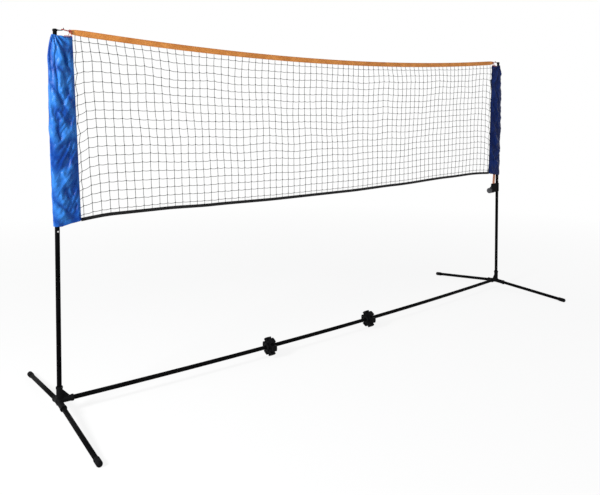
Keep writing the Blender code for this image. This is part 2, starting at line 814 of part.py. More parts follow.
def sleeve_sheet(name, side, face):
    """One panel of a side sleeve: from the outer fold round the post to the net's seam."""
    bm = bmesh.new()
    grid = []
    for j in range(SLEEVE_ROWS + 1):
        t = j / SLEEVE_ROWS
        z = SLEEVE_BOTTOM[side] + (SLEEVE_TOP - SLEEVE_BOTTOM[side]) * t
        outer, inner = sleeve_outer(z), sleeve_inner(z)
        row = []
        for i in range(SLEEVE_COLUMNS + 1):
            s = (i / SLEEVE_COLUMNS) ** 1.6  # more columns where the panel rounds the post
            across = -outer + (outer + inner) * s
            droop = 0.010 * (1 - s) * (1 - t) ** 3
            # Full round the post, flat at the net's seam, with soft slanting folds between.
            belly = abs(math.sin(math.pi * s)) ** (0.3 + 0.5 * s)
            depth = 0.0009 + 0.0010 * s + SLEEVE_BELLY * belly * (1 - 0.35 * t**6)
            wave = math.sin(2 * math.pi * SLEEVE_FOLD_WAVES * t + 5.0 * s + face)
            fold = SLEEVE_FOLD * wave * belly * s
            y = face * (depth + fold)
            row.append(bm.verts.new((side * (HALF_SPAN - across), y, z - droop)))
        grid.append(row)
    for j in range(SLEEVE_ROWS):
        for i in range(SLEEVE_COLUMNS):
            bm.faces.new((grid[j][i], grid[j][i + 1], grid[j + 1][i + 1], grid[j + 1][i]))
    mesh = mesh_of(name, bm, closed=False)
    smooth(mesh, 60)
    obj = add_object(name, mesh, BLUE_NYLON)
    thicken(obj, SLEEVE_WALL, 0.0)
    return obj


def hole_through_tape(word, place):
    """The cutter for an eyelet's barrel, square to the tape."""
    return add_object(
        "eyelet_hole_" + word,
        cylinder_mesh("eyelet_hole", EYELET_R + 0.0009 + FIT_GAP, -0.01, 0.01, 16),
        None, along((0, 1, 0), place), HELPERS,
    )


def eyelet_mesh():
    """A riveted eyelet: a barrel through the tape, rolled over both faces."""
    face = TAPE_SLOT / 2 + TAPE_THICKNESS + 0.0003
    outer = face + 0.0006
    barrel = EYELET_R + 0.0009
    flange = EYELET_R + 0.0024
    profile = [
        (EYELET_R, outer),
        (flange - 0.0004, outer),
        (flange, face),
        (barrel, face),
        (barrel, -face),
        (flange, -face),
        (flange - 0.0004, -outer),
        (EYELET_R, -outer),
    ]
    return turned_mesh("tape_eyelet", profile, 14)


def corner_loop_points(side, eye_z):
    """A long closed ring from the hook to the eyelet, level at the hook and sloping to the tape."""
    start, end = LOOP_NEAR, EYELET_IN + 0.0006
    near_z = POST_TOP + HOOK_RISE + HOOK_R + LOOP_CORD_R + 4 * FIT_GAP
    half = LOOP_HALF_WIDTH
    points = []
    for centre, first in ((end - half, -90), (start + half, 90)):
        for step in range(7):
            angle = math.radians(first + 30 * step)
            inward = centre + half * math.cos(angle)
            t = (inward - start) / (end - start)
            z = near_z + (eye_z - near_z) * t
            points.append((side * (HALF_SPAN - inward), half * math.sin(angle), z))
    return points


def make_corner(word, side, tape, slide):
    x = side * (HALF_SPAN - EYELET_IN)
    place = (x, 0, top_edge(x))
    boolean(tape, hole_through_tape(word, place))
    eyelet = add_object(
        "tape_eyelet_" + word, eyelet_mesh(), STEEL, along((0, 1, 0), place)
    )
    loop = rod(
        "corner_loop_" + word, corner_loop_points(side, place[2]), LOOP_CORD_R, 6, RED_CORD,
        cyclic=True,
    )
    carry(slide, eyelet, loop)


def make_tension_clamp(slide):
    """A clamp round the right post with a screw knob, and the strap that pulls the sleeve down."""
    ring = turned_mesh(
        "post_clamp",
        ring_profile(CLAMP_RING_R, TUBE_R + FIT_GAP, CLAMP_LOW, CLAMP_HIGH, 0.001),
    )
    clamp = add_object("post_clamp", ring, BLACK_PLASTIC, Matrix.Translation((HALF_SPAN, 0, 0)))
    arm = add_object("clamp_arm", clamp_arm_mesh(), None, collection=HELPERS)
    boolean(clamp, arm, "UNION")
    inward = along((-1, 0, 0), (HALF_SPAN, 0, KNOB_Z))
    thread = cylinder_mesh("screw_hole", SCREW_R + FIT_GAP, 0.0, ARM_END + 0.01, 12)
    boolean(clamp, add_object("screw_hole", thread, None, inward, HELPERS))
    post = cylinder_mesh("clamp_bore", TUBE_R + FIT_GAP, CLAMP_LOW - 0.02, CLAMP_HIGH + 0.02)
    at_post = Matrix.Translation((HALF_SPAN, 0, 0))
    boolean(clamp, add_object("clamp_bore", post, None, at_post, HELPERS))
    strap_x = HALF_SPAN - STRAP_IN
    half_width = STRAP_WIDTH / 2 + FIT_GAP
    half_slot = STRAP_THICKNESS / 2 + FIT_GAP
    slot = box_mesh(
        "strap_slot",
        (strap_x - half_width, -half_slot, STRAP_END - FIT_GAP),
        (strap_x + half_width, half_slot, CLAMP_HIGH + 0.01),
    )
    boolean(clamp, add_object("strap_slot", slot, None, collection=HELPERS))
    carry(slide, clamp, make_strap(strap_x))
    turn = axis_empty("knob_axis", (HALF_SPAN, 0, KNOB_Z))
    knob = add_object("clamp_knob", knob_mesh(), GREY_PLASTIC, inward)
    screw_profile = [
        (0, KNOB_START + 0.006),
        (SCREW_R, KNOB_START + 0.006),
        (SCREW_R, TUBE_R + 0.0015),
        (SCREW_R - 0.0010, TUBE_R + 0.0003),
        (0, TUBE_R + 0.0003),
    ]
    screw = add_object("clamp_screw", turned_mesh("clamp_screw", screw_profile, 12), STEEL, inward)
    carry(turn, knob, screw)
    carry(slide, turn)


def clamp_arm_mesh():
    """The clamp's arm, tapered towards the knob, with rounded long edges."""
    root = HALF_SPAN - 0.0075  # inside the ring, and then bored away
    end = HALF_SPAN - ARM_END
    outline = [
        (root, ARM_LOW + 0.006),
        (root, CLAMP_HIGH - 0.0015),
        (end + 0.0160, CLAMP_HIGH - 0.0015),
        (end + 0.0140, ARM_STEP + 0.006),
        (end, ARM_STEP),
        (end, ARM_LOW),
        (end + 0.020, ARM_LOW),
    ]
    bm = bmesh.new()
    near = [bm.verts.new((x, -ARM_HALF_WIDTH, z)) for x, z in outline]
    face = bm.faces.new(near)
    grown = bmesh.ops.extrude_face_region(bm, geom=[face])["geom"]
    moved = [v for v in grown if isinstance(v, bmesh.types.BMVert)]
    bmesh.ops.translate(bm, verts=moved, vec=(0, 2 * ARM_HALF_WIDTH, 0))
    long_edges = [e for e in bm.edges if abs(e.verts[0].co.y - e.verts[1].co.y) < 0.001]
    bmesh.ops.bevel(bm, geom=long_edges, offset=0.002, segments=2, affect="EDGES")
    return mesh_of("clamp_arm", bm)


def knob_mesh():
    """A round hand knob with a dished face and a blind hole for its screw."""
    start, end = KNOB_START, KNOB_END
    profile = [
        (0, end - 0.0020),
        (KNOB_R - 0.0065, end - 0.0010),
        (KNOB_R - 0.0045, end),
        (KNOB_R - 0.0018, end - 0.0008),
        (KNOB_R, end - 0.0030),
        (KNOB_R, start + 0.0065),
        (KNOB_R - 0.0020, start + 0.0045),
        (0.0090, start + 0.0035),
        (0.0080, start),
        (SCREW_R + FIT_GAP, start),
        (SCREW_R + FIT_GAP, start + 0.0064),
        (0, start + 0.0064),
    ]
    return turned_mesh("clamp_knob", profile)


def make_strap(strap_x):
    """Flat webbing that hangs inside the sleeve and enters the clamp's slot."""
    line = [(-0.0095, STRAP_TOP), (-0.0092, 0.788), (-0.0065, 0.762), (-0.0022, 0.738),
            (0.0, 0.726), (0.0, STRAP_END)]
    half = STRAP_WIDTH / 2
    bm = bmesh.new()
    rows = [[bm.verts.new((strap_x + s * half, y, z)) for s in (-1, 1)] for y, z in line]
    for a, b in zip(rows[:-1], rows[1:]):
        bm.faces.new((a[0], a[1], b[1], b[0]))
    strap = add_object("tension_strap", mesh_of("tension_strap", bm, closed=False), ORANGE_WEBBING)
    thicken(strap, STRAP_THICKNESS, 0.0)
    return strap


def make_net_assembly(slide):
    make_net(slide)
    top = folded_tape(
        "top_tape", top_edge, TOP_TAPE_HEIGHT, True, ORANGE_WEBBING,
        HALF_SPAN - TOP_TAPE_START, 22,
    )
    bottom = folded_tape(
        "bottom_tape", bottom_edge, BOTTOM_TAPE_HEIGHT, False, BLACK_WEBBING,
        HALF_SPAN - BOTTOM_TAPE_START, 18,
    )
    carry(slide, top, bottom)
    for side, word in ((-1, "left"), (1, "right")):
        make_corner(word, side, top, slide)
        for face, face_word in ((-1, "front"), (1, "back")):
            carry(slide, sleeve_sheet(f"{word}_sleeve_{face_word}", side, face))
    make_tension_clamp(slide)


def main():
    slide = axis_empty("height_slide_axis", (0, 0, BUTTON_Z))
    make_base()
    make_crossbar()
    make_posts(slide)
    make_net_assembly(slide)


main()
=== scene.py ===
"""Looks of the mini volleyball net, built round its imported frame. Metres, +Z up.

The origin is on the floor midway between the posts, +X runs to the right post and -Y to the side
that the net is seen from.
"""

import json
import math

import bmesh
import bpy
from mathutils import Matrix, Vector, noise


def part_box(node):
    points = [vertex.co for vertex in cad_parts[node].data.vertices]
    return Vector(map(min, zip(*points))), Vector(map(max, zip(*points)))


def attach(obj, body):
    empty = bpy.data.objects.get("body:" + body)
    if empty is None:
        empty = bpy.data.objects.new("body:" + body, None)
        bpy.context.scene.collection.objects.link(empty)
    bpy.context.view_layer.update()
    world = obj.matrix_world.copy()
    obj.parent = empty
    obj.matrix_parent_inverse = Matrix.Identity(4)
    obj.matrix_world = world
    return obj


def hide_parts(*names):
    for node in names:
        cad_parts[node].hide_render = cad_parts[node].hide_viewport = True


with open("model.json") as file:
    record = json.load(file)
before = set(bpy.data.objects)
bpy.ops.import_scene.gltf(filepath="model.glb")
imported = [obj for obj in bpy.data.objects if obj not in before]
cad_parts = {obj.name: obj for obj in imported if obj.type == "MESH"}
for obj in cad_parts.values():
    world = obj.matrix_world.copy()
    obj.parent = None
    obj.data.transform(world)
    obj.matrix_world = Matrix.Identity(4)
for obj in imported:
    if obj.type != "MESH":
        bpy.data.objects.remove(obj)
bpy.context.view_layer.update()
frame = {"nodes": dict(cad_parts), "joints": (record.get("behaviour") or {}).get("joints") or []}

BASE = "base_frame"
CARRIAGE = "net_carriage"
SIDES = ((-1, "left"), (1, "right"))

# Camera, fitted to the photograph's 600 by 495 frame
CAMERA_PLACE = Vector((-2.4397, -2.6519, 1.2312))
CAMERA_HEADING = 0.8800  # radians from +X towards +Y
CAMERA_PITCH = 0.0349  # radians below the horizon
CAMERA_LENS = 40.09
CAMERA_SHIFT = -0.193


def middle(node):
    """The centre of a solid's box."""
    low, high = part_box(node)
    return (low + high) / 2


# Places taken from the frame
LOWER_BOX, UPPER_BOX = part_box("lower_post_left"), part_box("upper_post_left")
HALF_SPAN = middle("lower_post_right").x
TUBE_R = (LOWER_BOX[1].x - LOWER_BOX[0].x) / 2
UPPER_R = (UPPER_BOX[1].x - UPPER_BOX[0].x) / 2
POST_TOP = UPPER_BOX[1].z
LOWER_LOW, LOWER_TOP = LOWER_BOX[0].z, LOWER_BOX[1].z
BUTTON_Z = middle("snap_button_left").z
BAR_Z = middle("bar_tube_middle").z
KNOB_Z = middle("clamp_knob").z

# Sizes of the tubes and fittings
TUBE_WALL = 0.0010
TUBE_SIDES = 40
FIT_GAP = 0.0004
BORE_R = TUBE_R + FIT_GAP  # of a socket, cap, collet or clamp that takes a tube
BAR_BOW = 0.055
BAR_TURN = math.atan(2 * BAR_BOW / HALF_SPAN)
HOLE_PITCH = 0.090
HOLE_COUNT = 7
HOLE_R = 0.0042
FOOT_REACH = 0.482
FOOT_TIP_Z = 0.0106
FOOT_ROOT_Z = 0.052
SOCKET_FLOOR = 0.0140
FOOT_CAP_R = 0.0118
FOOT_CAP_DEPTH = 0.034
FOOT_CAP_LENGTH = 0.041
STAR_LOBES = 6
STAR_R = 0.0450
STAR_CORNER = (0.0425, 0.0150)  # of a lobe, along and across its middle line
STAR_ROOT = (0.0275, 0.0105)  # where a lobe's side meets the notch
STAR_NOTCH_R = 0.0262
STAR_THICKNESS = 0.028
STAR_BORE_R = 0.0150
STAR_STEPS = 432

# Net, tapes and sleeves, as the solids have them
TOP_TAPE_END_Z = 1.5345
TOP_TAPE_SAG = 0.0555
TOP_TAPE_HEIGHT = 0.025
TOP_TAPE_START = 0.062
BOTTOM_TAPE_HEIGHT = 0.014
BOTTOM_TAPE_START = 0.0985
TAPE_THICKNESS = 0.0010
TAPE_SLOT = 0.0026
TAPE_FACE = TAPE_SLOT / 2 + TAPE_THICKNESS
TAPE_TAPER = 0.018  # the length over which the top tape narrows to its gathered end
BOTTOM_EDGE = (  # x and height of the bottom tape's middle line
    (-1.50, 0.773), (-1.26, 0.789), (-1.03, 0.789), (-0.77, 0.7825), (-0.38, 0.7775),
    (0.10, 0.7775), (0.47, 0.7835), (0.98, 0.797), (1.23, 0.802), (1.50, 0.794),
)
SLEEVE_TOP = 1.518
SLEEVE_BOTTOM = {-1: 0.777, 1: 0.795}  # the net hangs higher at the right post
PANEL_HEIGHT = 0.74  # of a sleeve's panel and of the net between its tapes
NET_COLUMNS = 75
NET_ROWS = 19
TWINE_R = 0.00115
KNOT_R = 0.0026
KNOT_HALF = 0.0024
EYELET_IN = 0.0710  # from the post's axis
SCREW_HOLE_R = 0.0029
STRAP_X = HALF_SPAN - 0.040
STRAP_WIDTH = 0.025
STITCH = 0.0042  # length of a stitch with its gap


def top_edge(x):
    return TOP_TAPE_END_Z - TOP_TAPE_SAG * (1 - (x / (HALF_SPAN - 0.09)) ** 2)


def bottom_edge(x):
    for (x0, z0), (x1, z1) in zip(BOTTOM_EDGE[:-1], BOTTOM_EDGE[1:]):
        if x <= x1:
            t = (x - x0) / (x1 - x0)
            return z0 + (z1 - z0) * t * t * (3 - 2 * t)
    return BOTTOM_EDGE[-1][1]


def sleeve_share(z):
    return (z - SLEEVE_BOTTOM[-1]) / (SLEEVE_TOP - SLEEVE_BOTTOM[-1])


def sleeve_inner(z):
    """How far the seam between sleeve and net lies from the post."""
    return 0.097 - 0.0275 * sleeve_share(z)


def sleeve_outer(z):
    """How far the fold lies outside the post: drawn in at both ends."""
    t = sleeve_share(z)
    return 0.0150 + 0.0165 * math.sin(math.pi * min(0.5, 0.75 * t)) - 0.012 * t**16


# Shape tools


class Shape:
    """Points and faces gathered from several parts, then made into one piece."""

    def __init__(self):
        self.points = []
        self.faces = []

    def add(self, points, faces):
        start = len(self.points)
        self.points.extend(points)
        self.faces.extend([tuple(start + k for k in face) for face in faces])
        return self

    def piece(self, name, material, body, replaces, slot, sharp=40):
        mesh = plain_mesh(name, self.points, self.faces)
        mesh.validate()
        return finish_piece(name, mesh, material, body, replaces, sharp)


def finish_piece(name, mesh, material, body, replaces, sharp):
    """Shades and links a mesh as a piece that rides on a body and stands for the nodes it replaces."""
    shade(mesh, sharp)
    paint(mesh, material)
    obj = link_object(name, mesh)
    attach(obj, body)
    if replaces:
        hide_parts(*replaces)
    return obj


def plain_mesh(name, points, faces):
    mesh = bpy.data.meshes.new(name)
    mesh.from_pydata([tuple(p) for p in points], [], faces)
    return mesh


def shade(mesh, sharp):
    """Smooth shading that keeps edges sharp from an angle in degrees."""
    mesh.shade_smooth()
    mesh.set_sharp_from_angle(angle=math.radians(sharp))


def paint(mesh, material):
    mesh.materials.clear()
    mesh.materials.append(material)


def link_object(name, data):
    obj = bpy.data.objects.new(name, data)
    bpy.context.scene.collection.objects.link(obj)
    return obj


def grid_faces(rows, columns, wrap_rows=False, wrap_columns=False):
    """Quads over a grid of points stored row by row."""
    faces = []
    for j in range(rows if wrap_rows else rows - 1):
        for i in range(columns if wrap_columns else columns - 1):
            right, above = (i + 1) % columns, (j + 1) % rows
            faces.append((j * columns + i, j * columns + right, above * columns + right, above * columns + i))
    return faces


def fillet(corners, radius, steps):
    """An open line of points with each inner corner rounded."""
    line = [Vector(corners[0])]
    for before, at, after in zip(corners[:-2], corners[1:-1], corners[2:]):
        before, at, after = Vector(before), Vector(at), Vector(after)
        reach = min(radius, 0.45 * (at - before).length, 0.45 * (after - at).length)
        start = at + (before - at).normalized() * reach
        end = at + (after - at).normalized() * reach
        for step in range(steps + 1):
            t = step / steps
            line.append(start * (1 - t) ** 2 + at * 2 * t * (1 - t) + end * t * t)
    line.append(Vector(corners[-1]))
    return line


def turned(profile, matrix, sides, ribs=None):
    """Points and faces of (radius, height) pairs turned round Z; ribs(angle, r, z) adds to r."""
    points, faces, rows = [], [], []
    for radius, height in profile:
        first, pole = len(points), radius < 1e-7
        for k in range(1 if pole else sides):
            angle = 2 * math.pi * k / sides
            reach = radius + (ribs(angle, radius, height) if ribs else 0)
            points.append(matrix @ Vector((reach * math.cos(angle), reach * math.sin(angle), height)))
        rows.append([first if pole else first + k for k in range(sides)])
    pairs = list(zip(rows[:-1], rows[1:]))
    if rows[0][0] != rows[0][1] and rows[-1][0] != rows[-1][1]:
        pairs.append((rows[-1], rows[0]))
    for a, b in pairs:
        for k in range(sides):
            n = (k + 1) % sides
            corners = (a[k], b[k], b[n], a[n])
            faces.append(tuple(dict.fromkeys(corners)))  # a pole's point is listed once
    return points, faces


def along(direction, place, spin=0.0):
    """A matrix that takes +Z to the direction, at the place."""
    turn = Vector((0, 0, 1)).rotation_difference(Vector(direction).normalized())
    return Matrix.Translation(place) @ turn.to_matrix().to_4x4() @ Matrix.Rotation(spin, 4, "Z")


def swept(path, section, closed=False, caps=True):
    """Sweeps a closed section of (side, up) pairs along a path, kept upright where it can be."""
    path = [Vector(p) for p in path]
    count, size = len(path), len(section)
    points, previous = [], None
    for k, at in enumerate(path):
        if closed:
            tangent = path[(k + 1) % count] - path[k - 1]
        else:
            tangent = path[min(k + 1, count - 1)] - path[max(k - 1, 0)]
        tangent.normalize()
        if previous is None:
            guide = Vector((0, 0, 1)) if abs(tangent.z) < 0.9 else Vector((0, 1, 0))
            side = tangent.cross(guide).normalized()
        else:
            side = (previous - tangent * previous.dot(tangent)).normalized()
        previous = side
        up = side.cross(tangent)
        points += [at + side * s + up * u for s, u in section]
    faces = grid_faces(count, size, wrap_rows=closed, wrap_columns=True)
    if caps and not closed:
        faces += end_faces(count, size)
    return points, faces


def end_faces(rows, size):
    """The two faces that close a swept section's ends."""
    return [tuple(reversed(range(size))), tuple((rows - 1) * size + k for k in range(size))]


def ring_section(radius, sides):
    turns = [2 * math.pi * k / sides for k in range(sides)]
    return [(radius * math.cos(turn), radius * math.sin(turn)) for turn in turns]


def smooth_path(points, pieces):
    """A Catmull-Rom curve through the points."""
    points = [Vector(p) for p in points]
    line = []
    ends = [points[0] * 2 - points[1], *points, points[-1] * 2 - points[-2]]
    for a, b, c, d in zip(ends[:-3], ends[1:-2], ends[2:-1], ends[3:]):
        for step in range(pieces):
            t = step / pieces
            curve = (2 * a - 5 * b + 4 * c - d) * t**2 + (3 * b - a - 3 * c + d) * t**3
            line.append(0.5 * ((2 * b) + (c - a) * t + curve))
    line.append(points[-1])
    return line


def ripple(place, scale, seed):
    """A smooth pseudo-random value from -1 to 1 at a place."""
    return noise.noise(Vector(place) * scale + Vector((seed, seed * 1.7, -seed)))


def boolean_cut(obj, cutters):
    """Cuts the cutters out of an object, then removes them."""
    for cutter in cutters:
        modifier = obj.modifiers.new("cut", "BOOLEAN")
        modifier.operation = "DIFFERENCE"
        modifier.object = cutter
        modifier.solver = "EXACT"
    bake_modifiers(obj)
    for cutter in cutters:
        bpy.data.objects.remove(cutter, do_unlink=True)


def bake_modifiers(obj):
    bpy.context.view_layer.update()
    graph = bpy.context.evaluated_depsgraph_get()
    mesh = bpy.data.meshes.new_from_object(obj.evaluated_get(graph))
    obj.modifiers.clear()
    obj.data = mesh


def take_mesh(obj):
    """A helper object's mesh, once the object itself is gone."""
    mesh = obj.data
    bpy.data.objects.remove(obj, do_unlink=True)
    return mesh


def loose_object(name, points, faces):
    """A helper object outside the pieces, which a Boolean or a remesh uses up."""
    mesh = plain_mesh(name, points, faces)
    bm = bmesh.new()
    bm.from_mesh(mesh)
    bmesh.ops.recalc_face_normals(bm, faces=bm.faces)
    bm.to_mesh(mesh)
    bm.free()
    return link_object(name, mesh)


def rod(name, radius, low, high, matrix, sides):
    """A round cutter or guard between two heights on the matrix's own Z axis."""
    return loose_object(name, *turned([(0, high), (radius, high), (radius, low), (0, low)], matrix, sides))


def box_part(low, high):
    low, high = Vector(low), Vector(high)
    points = [
        Vector((x, y, z)) for z in (low.z, high.z) for y in (low.y, high.y) for x in (low.x, high.x)
    ]
    faces = [(0, 2, 3, 1), (4, 5, 7, 6), (0, 1, 5, 4), (2, 6, 7, 3), (0, 4, 6, 2), (1, 3, 7, 5)]
    return points, faces


def prism(outline, half):
    """An (x, z) outline extruded to both sides of y = 0."""
    count = len(outline)
    points = [Vector((x, y, z)) for y in (-half, half) for x, z in outline]
    faces = [tuple(range(count)), tuple(reversed(range(count, 2 * count)))]
    faces += [(k, count + k, count + (k + 1) % count, (k + 1) % count) for k in range(count)]
    return points, faces


def moulded(obj, voxel, smoothing):
    """Fuses the union of shapes in an object into one skin with small fillets."""
    remesh = obj.modifiers.new("skin", "REMESH")
    remesh.mode = "VOXEL"
    remesh.voxel_size = voxel
    relax = obj.modifiers.new("relax", "SMOOTH")
    relax.factor = 0.5
    relax.iterations = smoothing
    bake_modifiers(obj)
    obj.data.shade_smooth()


# Materials


def new_material(name, roughness, metallic=0.0):
    made = bpy.data.materials.new(name)
    made.use_nodes = True
    shader = made.node_tree.nodes["Principled BSDF"]
    shader.inputs["Roughness"].default_value = roughness
    shader.inputs["Metallic"].default_value = metallic
    return made, made.node_tree, shader


def add_node(tree, kind, **settings):
    made = tree.nodes.new(kind)
    for key, value in settings.items():
        if key in made.inputs:
            made.inputs[key].default_value = value
        else:
            setattr(made, key, value)
    return made


def object_space(tree, scale=(1, 1, 1)):
    """Object coordinates, stretched along the axes."""
    place = add_node(tree, "ShaderNodeTexCoord").outputs["Object"]
    stretch = add_node(tree, "ShaderNodeMapping", Scale=scale)
    tree.links.new(place, stretch.inputs["Vector"])
    return stretch.outputs["Vector"]


def noise_value(tree, scale, detail, roughness=0.5, stretch=(1, 1, 1)):
    made = add_node(tree, "ShaderNodeTexNoise", Scale=scale, Detail=detail, Roughness=roughness)
    tree.links.new(object_space(tree, stretch), made.inputs["Vector"])
    return made.outputs["Fac"]


def wave_value(tree, period, direction, distortion=0.0):
    """Parallel ribs a period apart, in metres."""
    made = add_node(
        tree, "ShaderNodeTexWave", Scale=2 * math.pi / 20 / period, Distortion=distortion,
        bands_direction=direction,
    )
    tree.links.new(object_space(tree), made.inputs["Vector"])
    return made.outputs["Fac"]


def ramp(tree, value, stops):
    """A colour ramp over (position, colour) stops."""
    made = tree.nodes.new("ShaderNodeValToRGB")
    elements = made.color_ramp.elements
    for element, (place, colour) in zip(elements, stops[:2]):
        element.position = place
        element.color = (*colour, 1)
    for place, colour in stops[2:]:
        elements.new(place).color = (*colour, 1)
    tree.links.new(value, made.inputs["Fac"])
    return made.outputs["Color"]


def level(tree, value, low, high, start=0.0, end=1.0):
    """Takes a value from low to high as it runs from start to end."""
    made = add_node(tree, "ShaderNodeMapRange")
    for socket, setting in (("From Min", start), ("From Max", end), ("To Min", low), ("To Max", high)):
        made.inputs[socket].default_value = setting
    tree.links.new(value, made.inputs["Value"])
    return made.outputs["Result"]


def combine(tree, operation, a, b):
    made = add_node(tree, "ShaderNodeMath", operation=operation)
    for socket, value in zip(made.inputs, (a, b)):
        if isinstance(value, (int, float)):
            socket.default_value = value
        else:
            tree.links.new(value, socket)
    return made.outputs["Value"]


def blend_colours(tree, mode, a, b):
    """One colour added to another in full, or multiplied by it."""
    made = add_node(tree, "ShaderNodeMix", data_type="RGBA", blend_type=mode)
    made.inputs[0].default_value = 1.0
    tree.links.new(a, made.inputs[6])
    tree.links.new(b, made.inputs[7])
    return made.outputs[2]


def finish_material(tree, shader, colour, rough, bumps, specular=0.5, sheen=0.0):
    """Sets the colour, a clouded roughness (noise scale, detail, low, high), bumps, gloss and sheen.

    The bumps are (height value, depth in metres) pairs, added up as one chain.
    """
    scale, detail, low, high = rough
    tree.links.new(colour, shader.inputs["Base Color"])
    tree.links.new(level(tree, noise_value(tree, scale, detail), low, high), shader.inputs["Roughness"])
    shader.inputs["Specular IOR Level"].default_value = specular
    shader.inputs["Sheen Weight"].default_value = sheen
    previous = None
    for height, depth in bumps:
        made = add_node(tree, "ShaderNodeBump", Strength=1.0, Distance=depth)
        tree.links.new(height, made.inputs["Height"])
        if previous is not None:
            tree.links.new(previous, made.inputs["Normal"])
        previous = made.outputs["Normal"]
    tree.links.new(previous, shader.inputs["Normal"])


def painted_tube():
    """Black powder coat: orange peel, faint cloudiness and a few pale rubs."""
    made, tree, shader = new_material("black_powder_coat", 0.38)
    cloud = ramp(
        tree, noise_value(tree, 9, 4), [(0.35, (0.0007, 0.0007, 0.0008)), (0.7, (0.0024, 0.0024, 0.0028))]
    )
    rub = noise_value(tree, 60, 6, 0.7, (1, 1, 0.25))
    rubbed = ramp(tree, rub, [(0.68, (0, 0, 0)), (0.78, (0.010, 0.010, 0.011))])
    colour = blend_colours(tree, "ADD", cloud, rubbed)
    peel = [(noise_value(tree, 900, 2), 0.00005), (noise_value(tree, 120, 3), 0.00008)]
    finish_material(tree, shader, colour, (45, 5, 0.46, 0.66), peel, specular=0.022)
    return made


def moulded_plastic(name, dark, light, roughness):
    """Injection-moulded plastic: spark-eroded grain, soft flow clouds and paler worn edges."""
    made, tree, shader = new_material(name, roughness)
    cloud = ramp(tree, noise_value(tree, 26, 4), [(0.3, dark), (0.72, light)])
    worn = add_node(tree, "ShaderNodeNewGeometry").outputs["Pointiness"]
    edge = ramp(tree, worn, [(0.53, (0, 0, 0)), (0.62, tuple(0.6 * v for v in light))])
    colour = blend_colours(tree, "ADD", cloud, edge)
    grain = [(noise_value(tree, 1500, 2), 0.00006), (noise_value(tree, 60, 2), 0.0001)]
    rough = (70, 4, roughness - 0.1, roughness + 0.12)
    finish_material(tree, shader, colour, rough, grain, specular=0.045)
    return made


def plated_metal(name, dark, light):
    """Plated metal: a faint cloud in its tint and fine drawn scratches."""
    made, tree, shader = new_material(name, 0.28, 1.0)
    tint = ramp(tree, noise_value(tree, 90, 4), [(0.3, dark), (0.7, light)])
    scratches = [(noise_value(tree, 2500, 2, 0.5, (1, 1, 0.1)), 0.00002)]
    finish_material(tree, shader, tint, (400, 5, 0.2, 0.42), scratches)
    return made


def nylon(name, dark, light, gloss):
    """Coated blue nylon: a close plain weave, a satin sheen, and painted shade in the creases with painted
    light on the fold tops.
    """
    made, tree, shader = new_material(name, 0.36)
    # The sheet's share up its folds darkens the creases and lightens the fold tops, painted shade and painted
    # light, on top of a random cloud of tone.
    raised = add_node(tree, "ShaderNodeAttribute", attribute_name="raised").outputs["Fac"]
    cloud = combine(tree, "MULTIPLY", noise_value(tree, 8, 5, 0.6), 0.9)
    tone_and_fold_shade = combine(tree, "ADD", cloud, combine(tree, "MULTIPLY", raised, 0.62))
    base = ramp(tree, tone_and_fold_shade, [(0.38, dark), (0.98, light)])
    thread = combine(tree, "MULTIPLY", wave_value(tree, 0.0011, "X"), wave_value(tree, 0.0011, "Z"))
    # The weave is painted darker between its threads, painted shade in the weave's grooves.
    thread_shade = ramp(tree, thread, [(0.0, (0.82, 0.82, 0.84)), (1.0, (1.0, 1.0, 1.0))])
    colour = blend_colours(tree, "MULTIPLY", base, thread_shade)
    shader.inputs["Sheen Roughness"].default_value = 0.45
    shader.inputs["Sheen Tint"].default_value = (0.05, 0.45, 1.0, 1)
    wrinkles = [(noise_value(tree, 220, 4, 0.6), 0.00035), (noise_value(tree, 60, 3), 0.0012)]
    bumps = [(thread, 0.00005), *wrinkles]
    finish_material(tree, shader, colour, (30, 4, 0.30, 0.46), bumps, gloss, 0.5 * gloss)
    return made


def webbing(name, dark, light, period, fuzz=0.1):
    """Woven tape: ribs across it, broken by the warp, with uneven dye."""
    made, tree, shader = new_material(name, 0.8)
    dye = ramp(tree, noise_value(tree, 18, 5, 0.6), [(0.3, dark), (0.7, light)])
    ribs = wave_value(tree, period, "X", 0.6)
    warp = wave_value(tree, period * 0.8, "Z", 0.4)
    weave = combine(tree, "MAXIMUM", ribs, combine(tree, "MULTIPLY", warp, 0.8))
    shades = ramp(tree, weave, [(0.1, (0.68, 0.66, 0.64)), (0.8, (1, 1, 1))])
    colour = blend_colours(tree, "MULTIPLY", dye, shades)
    bumps = [(weave, 0.00025), (noise_value(tree, 1200, 2), 0.00012)]
    finish_material(tree, shader, colour, (300, 3, 0.68, 0.9), bumps, specular=0.2, sheen=fuzz)
    return made


def twine(name, dark, light, strand=0.0012):
    """Twisted cord: slanting strands under a little fluff."""
    made, tree, shader = new_material(name, 0.78)
    lay = wave_value(tree, strand, "DIAGONAL", 0.5)
    dye = ramp(tree, noise_value(tree, 40, 4), [(0.3, dark), (0.7, light)])
    shades = ramp(tree, lay, [(0.1, (0.6, 0.6, 0.6)), (0.9, (1, 1, 1))])
    colour = blend_colours(tree, "MULTIPLY", dye, shades)
    finish_material(
        tree, shader, colour, (500, 3, 0.65, 0.9), [(lay, 0.0002)], specular=0.15, sheen=0.03
    )
    return made


